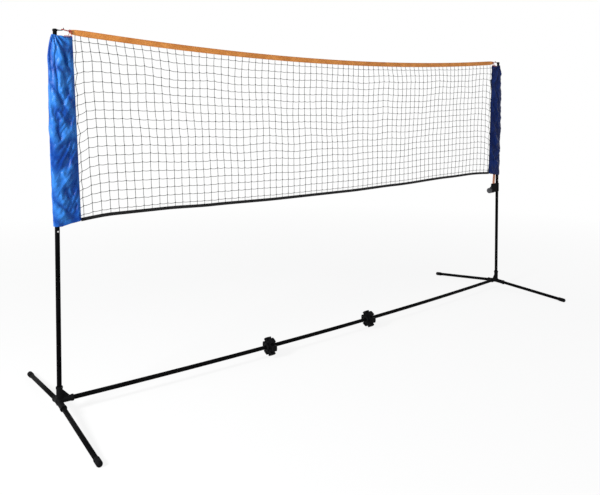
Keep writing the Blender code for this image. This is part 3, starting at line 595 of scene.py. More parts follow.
POWDER = painted_tube()
BLACK = moulded_plastic("black_moulding", (0.0018, 0.0018, 0.0022), (0.0050, 0.0050, 0.0058), 0.58)
GREY = moulded_plastic("grey_moulding", (0.055, 0.055, 0.06), (0.10, 0.10, 0.105), 0.5)
STEEL = plated_metal("plated_steel", (0.50, 0.50, 0.51), (0.72, 0.71, 0.69))
BRONZE = plated_metal("aged_brass", (0.16, 0.085, 0.030), (0.30, 0.17, 0.070))
# Two copies of one nylon: the right sleeve's is darker and less glossy all over, painted shade.
NYLON = {
    -1: nylon("blue_nylon", (0.0010, 0.040, 0.255), (0.026, 0.170, 0.54), 0.15),
    1: nylon("blue_nylon_shaded", (0.003, 0.010, 0.065), (0.005, 0.019, 0.110), 0.08),
}
ORANGE = webbing("orange_webbing", (0.52, 0.175, 0.030), (0.76, 0.310, 0.075), 0.0016)
ORANGE_THREAD = twine("orange_thread", (0.42, 0.11, 0.015), (0.55, 0.17, 0.03), 0.0006)
STRAP_WEB = webbing("strap_webbing", (0.46, 0.17, 0.09), (0.68, 0.30, 0.18), 0.0014)
BLACK_WEB = webbing("black_webbing", (0.003, 0.003, 0.0036), (0.009, 0.009, 0.010), 0.0014, 0.02)
BLACK_THREAD = twine("black_thread", (0.006, 0.006, 0.0065), (0.016, 0.016, 0.017), 0.0006)
BLUE_THREAD = twine("blue_thread", (0.006, 0.03, 0.20), (0.012, 0.06, 0.33), 0.0006)
TWINE = twine("net_twine", (0.004, 0.006, 0.005), (0.014, 0.020, 0.016))
RED = twine("red_cord", (0.30, 0.035, 0.030), (0.55, 0.10, 0.07), 0.0014)


# Base


def bar_point(x):
    return Vector((x, -BAR_BOW * (1 - (x / HALF_SPAN) ** 2), BAR_Z))


def bar_direction(x):
    return Vector((1, 2 * BAR_BOW * x / HALF_SPAN**2, 0)).normalized()


def hollow_tube(name, path, radius, body, node):
    """A round tube with its wall, its cut ends eased by a small chamfer."""
    ease, sides = 0.00025, TUBE_SIDES
    path = [Vector(p) for p in path]
    first = (path[1] - path[0]).normalized() * ease
    last = (path[-1] - path[-2]).normalized() * ease
    line = [path[0], path[0] + first, *path[1:-1], path[-1] - last, path[-1]]
    outer, faces = swept(line, ring_section(radius, sides), caps=False)
    inner = swept(line, ring_section(radius - TUBE_WALL, sides), caps=False)[0]
    start = len(line) * sides
    tip = start - sides
    for first_point, at in ((0, line[0]), (tip, line[-1])):
        for k in range(first_point, first_point + sides):
            outer[k] = outer[k] + (at - outer[k]).normalized() * ease
    shape = Shape().add(outer, faces).add(inner, [tuple(reversed(face)) for face in faces])
    for k in range(sides):
        n = (k + 1) % sides
        shape.faces.append((k, start + k, start + n, n))
        shape.faces.append((tip + n, start + tip + n, start + tip + k, tip + k))
    return shape.piece(name, POWDER, body, [node], "painted_tube", sharp=50)


def connector_matrix(side):
    turn = -BAR_TURN if side < 0 else math.pi + BAR_TURN
    return Matrix.Translation((side * HALF_SPAN, 0, 0)) @ Matrix.Rotation(turn, 4, "Z")


def foot_axis(way):
    """A foot tube's axis as +Z in its connector's own frame, from the post's axis outwards."""
    return along((0, way * FOOT_REACH, FOOT_TIP_Z - FOOT_ROOT_Z), (0, 0, FOOT_ROOT_Z))


def make_feet():
    for side, word in SIDES:
        for way, way_word in ((1, "back"), (-1, "front")):
            axis = connector_matrix(side) @ foot_axis(-side * way)
            ends = [axis @ Vector((0, 0, s)) for s in (SOCKET_FLOOR + FIT_GAP, FOOT_REACH)]
            words = f"{word}_{way_word}"
            hollow_tube(f"foot_{words}", ends, TUBE_R, BASE, f"foot_tube_{words}")
            make_foot_cap(words, axis)


def make_foot_cap(words, axis):
    """A rounded plug over the tube's end with three grip rings, worn flat where it stands."""
    outer, length = FOOT_CAP_R, FOOT_CAP_LENGTH
    groove = outer - 0.0008
    corners = [
        (0, length), (0.0060, length - 0.0006), (0.0100, length - 0.0040), (outer, length - 0.0090),
        (outer, 0.0165), (groove, 0.0160), (groove, 0.0140), (outer, 0.0135), (outer, 0.0110),
        (groove, 0.0105), (groove, 0.0085), (outer, 0.0080), (outer, 0.0), (BORE_R, 0.0),
        (BORE_R, FOOT_CAP_DEPTH), (0, FOOT_CAP_DEPTH),
    ]
    place = axis @ Matrix.Translation((0, 0, FOOT_REACH + FIT_GAP - FOOT_CAP_DEPTH))
    points, faces = turned(fillet(corners, 0.0006, 3), place, 56)
    points = [Vector((p.x, p.y, max(p.z, 0.0))) for p in points]
    Shape().add(points, faces).piece(
        f"foot_plug_{words}", BLACK, BASE, [f"foot_cap_{words}"], "moulded_black", sharp=35
    )


def socket_part(start, end, matrix):
    """A socket's outer form with its collar."""
    radius, collar, lip = 0.0122, 0.0138, end - 0.009
    corners = [
        (0, end), (collar, end), (collar, lip), (radius, lip - 0.0015), (radius, start), (0, start),
    ]
    return turned(fillet(corners, 0.0012, 4), matrix, 56)


def make_connectors():
    """The two four-way base mouldings: sockets, hub and web fused, then bored."""
    bar_axis = along((1, 0, 0), (0, 0, BAR_Z))
    shape = Shape().add(*socket_part(0.042, 0.117, Matrix())).add(*socket_part(-0.003, 0.056, bar_axis))
    bores = [(Matrix(), LOWER_LOW - FIT_GAP), (bar_axis, SOCKET_FLOOR)]
    for way in (1, -1):
        shape.add(*socket_part(-0.002, 0.060, foot_axis(way)))
        bores.append((foot_axis(way), SOCKET_FLOOR))
    hub = 0.0162
    ball = [(hub * math.sin(math.pi * k / 16), hub * math.cos(math.pi * k / 16)) for k in range(17)]
    shape.add(*turned(ball, Matrix.Translation((0, 0, 0.056)), 40))
    web = [(0.002, 0.054), (0.043, 0.0615), (0.040, 0.0735), (0.0125, 0.103), (0.002, 0.1035)]
    shape.add(*prism(web, 0.0032))
    body = loose_object("connector_body", shape.points, shape.faces)
    moulded(body, 0.0011, 3)
    cutters = []
    for number, (axis, floor) in enumerate(bores):
        spin = Matrix.Rotation(0.07 * (number + 1), 4, "Z")
        cutters.append(rod(f"bore_{number}", BORE_R, floor, 0.2, axis @ spin, 56))
    boolean_cut(body, cutters)
    for side, word in SIDES:
        mesh = body.data.copy()
        mesh.transform(connector_matrix(side))
        finish_piece(
            f"connector_{word}", mesh, BLACK, BASE, [f"base_connector_{word}"], 50
        )
    take_mesh(body)


def make_bar():
    """The crossbar's three tubes along its bow, meeting in the nuts' collets."""
    stars = [Vector(joint["pos_m"]).x for joint in frame["joints"] if joint["name"].startswith("star")]
    start = SOCKET_FLOOR + FIT_GAP
    joins = (-HALF_SPAN + start, *sorted(stars), HALF_SPAN - start)
    gap, steps = 0.0002, 24
    for word, low, high in zip(("left", "middle", "right"), joins[:-1], joins[1:]):
        first = low + (gap if low in stars else 0)
        last = high - (gap if high in stars else 0)
        path = [bar_point(first + (last - first) * k / steps) for k in range(steps + 1)]
        hollow_tube(f"crossbar_{word}", path, TUBE_R, BASE, f"bar_tube_{word}")
    for word, x in zip(("left", "right"), sorted(stars)):
        make_collet(word, x)
        make_star(word, x)


def even_loop(line, count):
    """Points at equal steps along a closed line."""
    line = [*line, line[0]]
    lengths = [(b - a).length for a, b in zip(line[:-1], line[1:])]
    step = sum(lengths) / count
    points, walked, edge = [], 0.0, 0
    for k in range(count):
        while walked + lengths[edge] < k * step:
            walked += lengths[edge]
            edge += 1
        points.append(line[edge].lerp(line[edge + 1], (k * step - walked) / lengths[edge]))
    return points


def star_line():
    """The nut's outline: flat-ended lobes that widen outwards, with grip ribs on their ends."""
    (corner, half_tip), (root, half_root) = STAR_CORNER, STAR_ROOT
    half_turn = math.pi / STAR_LOBES
    rib_depth, rib_pitch = 0.0007, 0.0042
    lobe = [
        (STAR_R, 0.0), (STAR_R - 0.0010, 0.6 * half_tip), (corner, half_tip), (root, half_root),
        (STAR_NOTCH_R * math.cos(half_turn), STAR_NOTCH_R * math.sin(half_turn)),
    ]
    corners = []
    for number in range(STAR_LOBES):
        turn = Matrix.Rotation(2 * half_turn * number, 2)
        ahead = Matrix.Rotation(2 * half_turn * (number + 1), 2)
        corners += [turn @ Vector(c) for c in lobe]
        corners += [ahead @ Vector((u, -v)) for u, v in reversed(lobe[1:4])]
    ribbed = []
    for at in even_loop(fillet([*corners, corners[0]], 0.0034, 6)[:-1], STAR_STEPS):
        off = (math.atan2(at.y, at.x) + half_turn) % (2 * half_turn) - half_turn
        outwards, across = at.length * math.cos(off), at.length * math.sin(off)
        rib = 0.0
        if outwards > corner - 0.0005 and abs(across) < 2.5 * rib_pitch:
            rib = rib_depth * (0.5 - 0.5 * math.cos(2 * math.pi * across / rib_pitch))
        ribbed.append(at * (1 - rib / at.length))
    return ribbed


def make_star(word, x):
    """A lobed locking nut with rounded rims, sunk faces and a raised ring round its bore."""
    place = along(bar_direction(x), bar_point(x), math.pi / 2)
    line = star_line()
    runs = [line[(k + 1) % STAR_STEPS] - line[k - 1] for k in range(STAR_STEPS)]
    inward = [Vector((-run.y, run.x)).normalized() for run in runs]
    half = STAR_THICKNESS / 2

    def outline(inset):
        return [at + way * inset for at, way in zip(line, inward)]

    def circle(radius):
        return [at.normalized() * radius for at in line]

    rim = 0.0030
    arc = [math.radians(15 * k) for k in range(7)]
    front = [(outline(rim * (1 - math.sin(a))), half - rim * (1 - math.cos(a))) for a in reversed(arc)]
    lip, floor = outline(rim + 0.0016), outline(rim + 0.0022)
    front += [(lip, half), (floor, half - 0.0006), (floor, half - 0.0018)]
    front += [(circle(0.0218), half - 0.0018), (circle(0.0215), half - 0.0012), (circle(0.0212), half)]
    front += [(circle(STAR_BORE_R + 0.0008), half), (circle(STAR_BORE_R + 0.0002), half - 0.0003)]
    front += [(circle(STAR_BORE_R), half - 0.0009)]
    rows = [(row, -z) for row, z in reversed(front)] + front
    points = [place @ Vector((at.x, at.y, z)) for row, z in rows for at in row]
    faces = grid_faces(len(rows), STAR_STEPS, wrap_rows=True, wrap_columns=True)
    Shape().add(points, faces).piece(
        f"lobed_nut_{word}", BLACK, f"star_{word}", [f"star_nut_{word}"], "moulded_black", sharp=38
    )


def make_collet(word, x):
    """The split bush under the nut: two tapered flanged noses with slots."""
    waist, flange_r, nose, tip = STAR_BORE_R - FIT_GAP, 0.0185, 0.0135, 0.0118
    flange, half = STAR_THICKNESS / 2 + FIT_GAP, 0.026
    corners = [
        (tip, half), (nose, half - 0.0015), (flange_r, half - 0.0050), (flange_r, flange),
        (waist, flange), (waist, -flange), (flange_r, -flange), (flange_r, -half + 0.0050),
        (nose, -half + 0.0015), (tip, -half), (BORE_R, -half), (BORE_R, half),
    ]
    place = along(bar_direction(x), bar_point(x), 0.4)
    obj = loose_object(f"collet_{word}", *turned(fillet(corners, 0.0005, 3), place, 56))
    cutters = []
    for end in (-1, 1):
        for turn in range(4):
            spin = place @ Matrix.Rotation(math.pi / 2 * turn + 0.3, 4, "Z")
            points, faces = box_part((0.009, -0.0006, flange + 0.0022), (0.03, 0.0006, half + 0.01))
            points = [spin @ Vector((p.x, p.y, p.z * end)) for p in points]
            cutters.append(loose_object(f"slot_{end}_{turn}", points, faces))
    boolean_cut(obj, cutters)
    finish_piece(
        f"collet_bush_{word}", take_mesh(obj), BLACK, BASE, [f"joint_collet_{word}"], 35
    )


# Posts


def make_posts():
    for side, word in SIDES:
        x = side * HALF_SPAN
        lower, upper = f"lower_post_{word}", f"upper_post_{word}"
        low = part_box(upper)[0].z
        post_tube(f"post_lower_{word}", x, LOWER_LOW, LOWER_TOP, TUBE_R, BASE, lower, HOLE_COUNT)
        post_tube(f"post_upper_{word}", x, low, POST_TOP, UPPER_R, CARRIAGE, upper, 1)
        make_guide_bush(word, x)
        make_post_cap(word, x, side)
        make_button(word, x)


def post_tube(name, x, low, high, radius, body, node, holes):
    """An upright tube whose button holes are cut through its front wall."""
    obj = hollow_tube(name, [(x, 0, low), (x, 0, high)], radius, body, node)
    cutters = []
    for number in range(holes):
        at = along((0, -1, 0), (x, 0, BUTTON_Z - number * HOLE_PITCH))
        cutters.append(rod(f"hole_{number}", HOLE_R, 0.0, 0.02, at, 24))
    boolean_cut(obj, cutters)
    paint(obj.data, POWDER)
    shade(obj.data, 40)


def make_guide_bush(word, x):
    """The collar on the lower tube's end, with a soft lip and two grip grooves."""
    outer, cup, bore, lip = TUBE_R + 0.0016, TUBE_R + 0.0003, UPPER_R + FIT_GAP, 0.0033
    groove = outer - 0.0005
    corners = [
        (bore, lip), (outer, lip), (outer, -0.0060), (groove, -0.0064), (groove, -0.0076),
        (outer, -0.0080), (outer, -0.0110), (groove, -0.0114), (groove, -0.0126), (outer, -0.0130),
        (outer, -0.020), (cup, -0.020), (cup, 0.0003), (bore, 0.0003),
    ]
    points, faces = turned(fillet(corners, 0.0004, 3), Matrix.Translation((x, 0, LOWER_TOP)), 48)
    Shape().add(points, faces).piece(
        f"collar_{word}", BLACK, BASE, [f"guide_bush_{word}"], "moulded_black", sharp=35
    )


def make_post_cap(word, x, side):
    """A domed plug in the upper tube, and the tapered hook that runs out of it towards the net."""
    stem = UPPER_R - TUBE_WALL - 0.0003
    corners = [
        (0, 0.0105), (0.0050, 0.0103), (0.0086, 0.0086), (0.0097, 0.0060), (0.0097, 0.0003),
        (stem, 0.0003), (stem, -0.022), (0, -0.022),
    ]
    place = Matrix.Translation((x, 0, POST_TOP))
    Shape().add(*turned(fillet(corners, 0.0008, 4), place, 48)).piece(
        f"cap_{word}", BLACK, CARRIAGE, [f"post_cap_{word}"], "moulded_black", sharp=35
    )
    wire_r, root_r, sides = 0.0018, 0.0034, 16
    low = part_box(f"cap_hook_{word}")[0].z + 0.0016
    route = [(-0.004, 0), (0.010, 0), (0.0223, 0), (0.0298, 0.0012), (0.0338, 0.0048), (0.0345, 0.0090)]
    path = smooth_path([(x - side * s, 0, low + lift) for s, lift in route], 5)
    points, faces = swept(path, ring_section(wire_r, sides))
    for k, at in enumerate(path):
        inward = (x - at.x) * side
        grown = 1 + (root_r / wire_r - 1) * max(0.0, 1 - max(inward, 0.0) / 0.021)
        for n in range(sides * k, sides * k + sides):
            points[n] = at + (points[n] - at) * grown
    shape = Shape().add(points, faces)
    tip = [(wire_r * math.sin(math.radians(a)), wire_r * math.cos(math.radians(a))) for a in range(0, 91, 15)]
    shape.add(*turned([*tip, (0.0, -0.0004)], along(path[-1] - path[-2], path[-1]), sides))
    shape.piece(f"hook_{word}", BLACK, CARRIAGE, [f"cap_hook_{word}"], "plain_steel")


def make_button(word, x):
    """A pressed steel button with a domed head on its stem."""
    reach, button_r, stem_r = TUBE_R + 0.0018, 0.0037, 0.0010
    inner = UPPER_R - TUBE_WALL
    corners = [
        (0, reach), (0.0022, reach - 0.0001), (button_r - 0.0003, reach - 0.0010),
        (button_r, reach - 0.0022), (button_r, inner - 0.0010), (stem_r, inner - 0.0010),
        (stem_r, inner - 0.0058), (0, inner - 0.0058),
    ]
    place = along((0, -1, 0), (x, 0, BUTTON_Z))
    Shape().add(*turned(fillet(corners, 0.0005, 3), place, 32)).piece(
        f"button_{word}", STEEL, f"button_{word}", [f"snap_button_{word}"], "plain_steel", sharp=35
    )


# Net


def net_knot(i, j):
    """The place of a knot: column i from the left, row j from the bottom, both ends included.

    Rows 0 and NET_ROWS + 1 are where the columns run into the two tapes.
    """
    v = row_height(j)
    seam = HALF_SPAN - sleeve_inner(0.78 + PANEL_HEIGHT * v)
    half = seam - 0.010 * v**12
    edge_gap, next_gap = 0.012, 0.036
    span = 2 * (half - edge_gap - next_gap)
    inner = NET_COLUMNS - 4
    if i == 0:
        x = -seam - 0.004
    elif i == NET_COLUMNS:
        x = seam + 0.004
    elif i == 1:
        x = -half + edge_gap
    elif i == NET_COLUMNS - 1:
        x = half - edge_gap
    else:
        x = -half + edge_gap + next_gap + span * (i - 2) / inner
    left = math.exp(-(((x + 1.3) / 0.5) ** 2)) if x < 0 else 0
    right = math.exp(-(((x - 1.2) / 0.4) ** 2)) if x > 0 else 0
    inside = 1 - math.exp(-max(half - abs(x), 0) / 0.03)
    x += left * inside * (0.004 - 0.014 * v - 0.022 * math.exp((v - 1) / 0.12))
    x -= 0.014 * right * inside * (1 - v)
    low = bottom_edge(x) + BOTTOM_TAPE_HEIGHT / 2
    high = top_edge(x) - TOP_TAPE_HEIGHT / 2
    z = low + (high - low) * v
    free = min(1.0, 2.5 * v) * min(1.0, 8 * (1 - v))
    z -= 0.034 * math.exp(-max(half - abs(x), 0) / 0.029) * math.sin(math.pi * min(v * 1.05, 1)) ** 0.7
    place = Vector((x, 0, z))
    drift = 0.0052 + 0.0075 * math.exp(-((v / 0.16) ** 2)) * math.exp(-(((x + 0.75) / 0.45) ** 2))
    x += drift * ripple(place, 7.0, 3.1) * free + 0.0012 * ripple(place, 60.0, 1.3) * free
    z += (0.0045 + drift) * ripple(place, 6.0, 8.2) * free + 0.0012 * ripple(place, 60.0, 5.9) * free
    y = (0.016 * ripple(place, 2.3, 4.4) + 0.004 * ripple(place, 14.0, 2.2)) * free
    y *= 1 - math.exp(-max(half - abs(x), 0) / 0.10)
    if i in (1, NET_COLUMNS - 1):
        x += (0.0060 * ripple((z, i, 0), 23.0, 4.0) + 0.0040 * (-1) ** j) * free
        z += 0.0040 * ripple((z, i, 0), 31.0, 9.0) * free
    return Vector((x, y, z))


def row_height(j):
    """The share of the net's height at a row: half cells at the two tapes, whole ones between."""
    cells = NET_ROWS - 1
    top_gap, bottom_gap = 0.50, 0.42
    total = cells + top_gap + bottom_gap
    if j == 0:
        return 0.0
    if j == NET_ROWS + 1:
        return 1.0
    return (bottom_gap + (j - 1)) / total


def twine_run(knots, level_run, seed):
    """A cord through its knots, slack between them, as rings of six points."""
    pieces = 4 if level_run else 3
    line = []
    for a, b in zip(knots[:-1], knots[1:]):
        slack = 0.0024 + 0.0016 * ripple(a, 40.0, seed)
        bow = 0.0016 * ripple(b, 33.0, seed + 2)
        for step in range(pieces):
            t = step / pieces
            hang = math.sin(math.pi * t)
            at = a.lerp(b, t)
            if level_run:
                at += Vector((0, bow * hang, -slack * hang))
            else:
                at += Vector((bow * hang, slack * 0.5 * hang, 0))
            line.append(at)
    line.append(knots[-1])
    sides = 6
    ring = [Vector((0, s, u)) if level_run else Vector((s, u, 0)) for s, u in ring_section(TWINE_R, sides)]
    points = [at + off for at in line for off in ring]
    faces = grid_faces(len(line), sides, wrap_columns=True)
    faces += [tuple(range(sides)), tuple(reversed(range(len(points) - sides, len(points))))]
    return points, faces


def knot_part(at, seed):
    """A small tied knot: two crossed turns of cord drawn into a lump."""
    rows, sides = 6, 8
    last = 1 + (rows - 1) * sides
    points = [at + Vector((0, 0, KNOT_HALF))]
    tilt = ripple(at, 90.0, seed) * 0.8
    for r in range(1, rows):
        polar = math.pi * r / rows
        for k in range(sides):
            a = 2 * math.pi * k / sides
            lump = 1 + 0.22 * math.cos(2 * a + 3 * polar + tilt) + 0.10 * math.sin(3 * a + seed)
            across = KNOT_R * math.sin(polar) * lump
            points.append(
                at + Vector((across * math.cos(a), 0.85 * across * math.sin(a), KNOT_HALF * math.cos(polar)))
            )
    points.append(at - Vector((0, 0, KNOT_HALF)))
    faces = []
    for k in range(sides):
        n = (k + 1) % sides
        faces += [(0, 1 + k, 1 + n), (last - sides + k, last, last - sides + n)]
        for base in range(1, last - sides, sides):
            faces.append((base + k, base + sides + k, base + sides + n, base + n))
    return points, faces


def make_net():
    """The knotted net: level cords, hanging cords and a knot at each crossing."""
    places = [[net_knot(i, j) for i in range(NET_COLUMNS + 1)] for j in range(NET_ROWS + 2)]
    shape = Shape()
    for j in range(1, NET_ROWS + 1):
        shape.add(*twine_run(places[j], True, 0.3 * j))
    for i in range(1, NET_COLUMNS):
        column = [places[j][i].copy() for j in range(NET_ROWS + 2)]
        column[0].z -= 0.004
        column[-1].z += 0.006
        shape.add(*twine_run(column, False, 0.7 * i))
    for j in range(1, NET_ROWS + 1):
        for i in range(1, NET_COLUMNS):
            shape.add(*knot_part(places[j][i], 0.37 * i + 1.9 * j))
    shape.piece("knotted_net", TWINE, CARRIAGE, ["net_mesh"], "net_twine", sharp=80)


# Tapes


def folded_tape(name, edge, height, mouth_down, material, start, node, slot, taper):
    """Webbing folded over the net's edge, a rounded U section swept along the edge."""
    slot_half, half, high = TAPE_SLOT / 2, TAPE_FACE, height / 2
    corners = [
        (-slot_half, -high), (-slot_half, high - TAPE_THICKNESS), (slot_half, high - TAPE_THICKNESS),
        (slot_half, -high), (half, -high), (half, 0), (half, high), (-half, high), (-half, 0),
        (-half, -high), (-slot_half, -high),
    ]
    section = fillet(corners, 0.0011, 3)[:-1]
    flip = 1 if mouth_down else -1
    reach, pieces = HALF_SPAN - start, 260
    points = []
    for k in range(pieces + 1):
        x = reach * (2 * k / pieces - 1)
        lean = 0.0007 * ripple((x, 0, 0), 5.0, 2.0)
        wander = 0.0012 * ripple((x, 0, 0), 9.0, 6.0)
        narrow = taper * math.exp(-(reach - abs(x)) / TAPE_TAPER)
        for y, z in section:
            z *= 1 - narrow
            share = 0.5 - z / height
            points.append(Vector((x, y + lean * share, edge(x) + flip * (z - abs(wander * share) * 0.6))))
    faces = grid_faces(pieces + 1, len(section), wrap_columns=True) + end_faces(pieces + 1, len(section))
    Shape().add(points, faces).piece(name, material, CARRIAGE, [node], slot, sharp=60)


def stitch_part(a, b, out):
    """One stitch: a short thread that bulges from the cloth between its two holes."""
    a, b, out = Vector(a), Vector(b), Vector(out).normalized()
    run = b - a
    side = run.cross(out).normalized()
    points, steps = [], 4
    for k in range(steps + 1):
        t = k / steps
        swell = math.sin(math.pi * t)
        centre = a + run * t + out * (0.00035 * swell - 0.0001)
        thick = 0.0004 * (0.55 + 0.45 * swell)
        points += [centre + side * thick, centre + out * thick, centre - side * thick, centre - out * thick]
    faces = grid_faces(steps + 1, 4, wrap_columns=True)
    faces += [(0, 1, 2, 3), tuple(steps * 4 + k for k in (3, 2, 1, 0))]
    return points, faces


def tape_stitches(name, edge, start, lines, material, slot, taper):
    """Rows of stitches through a tape, on both of its faces."""
    shape, margin = Shape(), 0.004
    reach = HALF_SPAN - start - margin
    for offset in lines:
        for side in (-1, 1):
            for k in range(int(2 * reach / STITCH)):
                x0 = -reach + k * STITCH
                x1 = x0 + STITCH * 0.78
                up = offset * (1 - taper * math.exp(-(reach + margin - abs(x0)) / TAPE_TAPER))
                a = (x0, side * TAPE_FACE, edge(x0) + up)
                b = (x1, side * TAPE_FACE, edge(x1) + up + 0.0001 * ((k % 3) - 1))
                shape.add(*stitch_part(a, b, (0, side, 0)))
    shape.piece(name, material, CARRIAGE, (), slot, sharp=80)


def make_tapes():
    gathered = 0.36
    folded_tape(
        "top_band", top_edge, TOP_TAPE_HEIGHT, True, ORANGE, TOP_TAPE_START, "top_tape",
        "orange_webbing", gathered,
    )
    folded_tape(
        "bottom_band", bottom_edge, BOTTOM_TAPE_HEIGHT, False, BLACK_WEB, BOTTOM_TAPE_START,
        "bottom_tape", "black_webbing", 0.0,
    )
    tape_stitches(
        "top_band_stitches", top_edge, TOP_TAPE_START, (-0.0098, 0.0092), ORANGE_THREAD,
        "orange_webbing", gathered,
    )
    tape_stitches(
        "bottom_band_stitches", bottom_edge, BOTTOM_TAPE_START, (0.0042,), BLACK_THREAD,
        "black_webbing", 0.0,
    )


# Sleeves


SLEEVE_COLUMNS = 72
POINTS_ACROSS = SLEEVE_COLUMNS + 1
SLEEVE_ROWS = 170
SLEEVE_FRAMES = 34
SLEEVE_WIDE = 0.115
HEM = 0.027
POST_CLEAR = 0.0118  # round the guide bush, which the sleeve passes as the net is lowered
PASSING_Z = 1.36  # the sleeve above this height never comes down to the guide bush
CLOTH = {
    "quality": 7, "mass": 0.12, "tension_stiffness": 20, "compression_stiffness": 20,
    "shear_stiffness": 8, "bending_stiffness": 0.35, "tension_damping": 8, "compression_damping": 8,
    "shear_damping": 8, "air_damping": 2, "vertex_group_mass": "held", "shrink_min": -0.025,
}
# Long slanting folds: from and to (across, up) shares of a panel, with height and width in metres.
# Across runs from the outer fold to the net's seam.
FOLDS = (
    ((0.66, 0.915), (0.96, 0.845), 0.0050, 0.0105),
    ((0.95, 0.800), (0.42, 0.715), 0.0060, 0.0095),
    ((0.42, 0.715), (0.62, 0.640), 0.0045, 0.0080),
    ((0.55, 0.640), (0.85, 0.560), 0.0050, 0.0085),
    ((0.30, 0.985), (0.06, 0.880), 0.0035, 0.0070),
    ((0.40, 0.980), (0.78, 0.870), 0.0038, 0.0070),
    ((0.90, 0.520), (0.38, 0.455), 0.0048, 0.0090),
    ((0.30, 0.600), (0.62, 0.500), 0.0034, 0.0085),
    ((0.34, 0.445), (0.74, 0.375), 0.0046, 0.0085),
    ((0.95, 0.325), (0.36, 0.275), 0.0050, 0.0080),
    ((0.34, 0.275), (0.60, 0.185), 0.0048, 0.0090),
    ((0.88, 0.235), (0.50, 0.205), 0.0040, 0.0070),
    ((0.42, 0.150), (0.72, 0.065), 0.0048, 0.0080),
    ((0.62, 0.170), (0.90, 0.100), 0.0040, 0.0070),
    ((0.25, 0.160), (0.34, 0.060), 0.0035, 0.0070),
)


def fold_height(s, t, side, face):
    """How far the long folds lift a point of a panel off its full form."""
    slip = {(-1, -1): 0.0, (-1, 1): 0.37, (1, -1): 0.61, (1, 1): 0.18}[side, face]
    at = Vector((s * SLEEVE_WIDE, PANEL_HEIGHT * t))
    height = 0.0
    for (s0, t0), (s1, t1), rise, width in FOLDS:
        if slip and t0 > 0.9:
            move = 0.0
        else:
            move = -slip if t0 - slip > 0.04 else 0.9 - slip
        start = Vector((s0 * SLEEVE_WIDE, PANEL_HEIGHT * (t0 + move)))
        run = Vector((s1 * SLEEVE_WIDE, PANEL_HEIGHT * (t1 + move))) - start
        share = min(1.0, max(0.0, (at - start).dot(run) / run.length_squared))
        off = at - start - run * share
        reach = width if off.y > 0 else 0.62 * width
        height += rise * math.exp(-off.length_squared / reach**2)
    return height


def puff_height(s, t, side, face):
    """Loose nylon's puffs: rounded bulges that meet in sharp creases, at two sizes."""
    x, up = s * SLEEVE_WIDE, PANEL_HEIGHT * t
    seed = 5.3 + 2.1 * face + 7.7 * side
    large = abs(ripple((x + 0.40 * up, 0.62 * up, 0), 21.0, seed))
    small = abs(ripple((x - 0.55 * up, 0.75 * up, 0), 46.0, seed + 3))
    return 0.024 * large + 0.0060 * small - 0.0050


def sleeve_rest(side):
    """The sleeve's sheet, from its front seam round the outer fold to its back seam.

    With it comes how far up its folds each point lies, as a share, which the nylon uses to paint shade into
    the creases and light onto the fold tops.
    """
    rest, raised = [], []
    for j in range(SLEEVE_ROWS + 1):
        t = j / SLEEVE_ROWS
        z = SLEEVE_BOTTOM[side] + (SLEEVE_TOP - SLEEVE_BOTTOM[side]) * t
        outer, inner = sleeve_outer(z), sleeve_inner(z)
        hem = min(1.0, max(0.0, (SLEEVE_BOTTOM[side] + HEM - z) / 0.0020))
        gather = max(0.0, (t - 0.84) / 0.16) ** 1.5
        for i in range(POINTS_ACROSS):
            turn = i / SLEEVE_COLUMNS
            s = abs(1 - 2 * turn)
            face = -1 if turn < 0.5 else 1
            eased = s**1.25
            across = -outer + (outer + inner) * eased
            across *= 1 - 0.36 * t**40 * (1 - s) + 0.13 * (1 - s) * math.exp(-(((t - 0.91) / 0.06) ** 2))
            droop = 0.010 * (1 - s) * (1 - t) ** 3
            belly = abs(math.sin(math.pi * eased)) ** (0.3 + 0.5 * eased)
            depth = 0.0009 + 0.0010 * eased + 0.0160 * belly * (1 - 0.35 * t**6)
            free = min(1.0, 1.6 * belly)
            swell = 0.0022 * math.sin(2 * math.pi * 3.5 * t + 5.0 * eased + face) * free * eased
            round_cap = math.atan2(abs(s - 0.12) * SLEEVE_WIDE, PANEL_HEIGHT * (1.03 - t))
            pleat = 0.0050 * math.sin(20 * round_cap + 2 * face) * gather * free
            pucker = 0.0005 * math.sin(2 * math.pi * across / 0.0085 + face) * hem
            ends = min(1.0, 14 * t) * min(1.0, 20 * (1 - t))
            folds = fold_height(eased, t, side, face) + puff_height(eased, t, side, face)
            # The share up the folds, for the painted shade in the creases and painted light on the fold tops.
            raised.append(min(1.0, max(0.0, (folds + pleat + 0.002) / 0.012)))
            depth += (folds - 0.0020) * free * ends
            depth += swell + pleat + pucker + 0.0007 * hem
            lift = 0.0065 * (1 - s) ** 3 * t**26 + 0.0020 * s**6 * t**26
            y = 0.0 if i * 2 == SLEEVE_COLUMNS else face * max(depth, 0.0010)
            rest.append(Vector((side * (HALF_SPAN - across), y, z - droop + lift)))
    return rest, raised


def simulate_sleeve(obj, side):
    """Lets the sheet grow a little between its seams, so that it buckles as loose nylon does."""
    scene = bpy.context.scene
    seams = (0, 1, SLEEVE_COLUMNS - 1, SLEEVE_COLUMNS)
    edges = [j * POINTS_ACROSS + i for j in range(SLEEVE_ROWS + 1) for i in seams]
    top_row = [SLEEVE_ROWS * POINTS_ACROSS + i for i in range(POINTS_ACROSS)]
    obj.vertex_groups.new(name="held").add([*edges, *top_row], 1.0, "REPLACE")
    place = Matrix.Translation((side * HALF_SPAN, 0, 0))
    post = rod("post_guard", POST_CLEAR, 0.70, SLEEVE_TOP - 0.03, place, 24)
    post.modifiers.new("collision", "COLLISION")
    post.collision.thickness_outer = 0.001
    post.collision.cloth_friction = 5
    cloth = obj.modifiers.new("cloth", "CLOTH")
    for setting, value in CLOTH.items():
        setattr(cloth.settings, setting, value)
    cloth.collision_settings.collision_quality = 3
    cloth.collision_settings.distance_min = 0.001
    cloth.point_cache.frame_start = 1
    cloth.point_cache.frame_end = SLEEVE_FRAMES
    for step in range(1, SLEEVE_FRAMES + 1):
        scene.frame_set(step)
    bake_modifiers(obj)
    scene.frame_set(1)
    bpy.data.objects.remove(post, do_unlink=True)


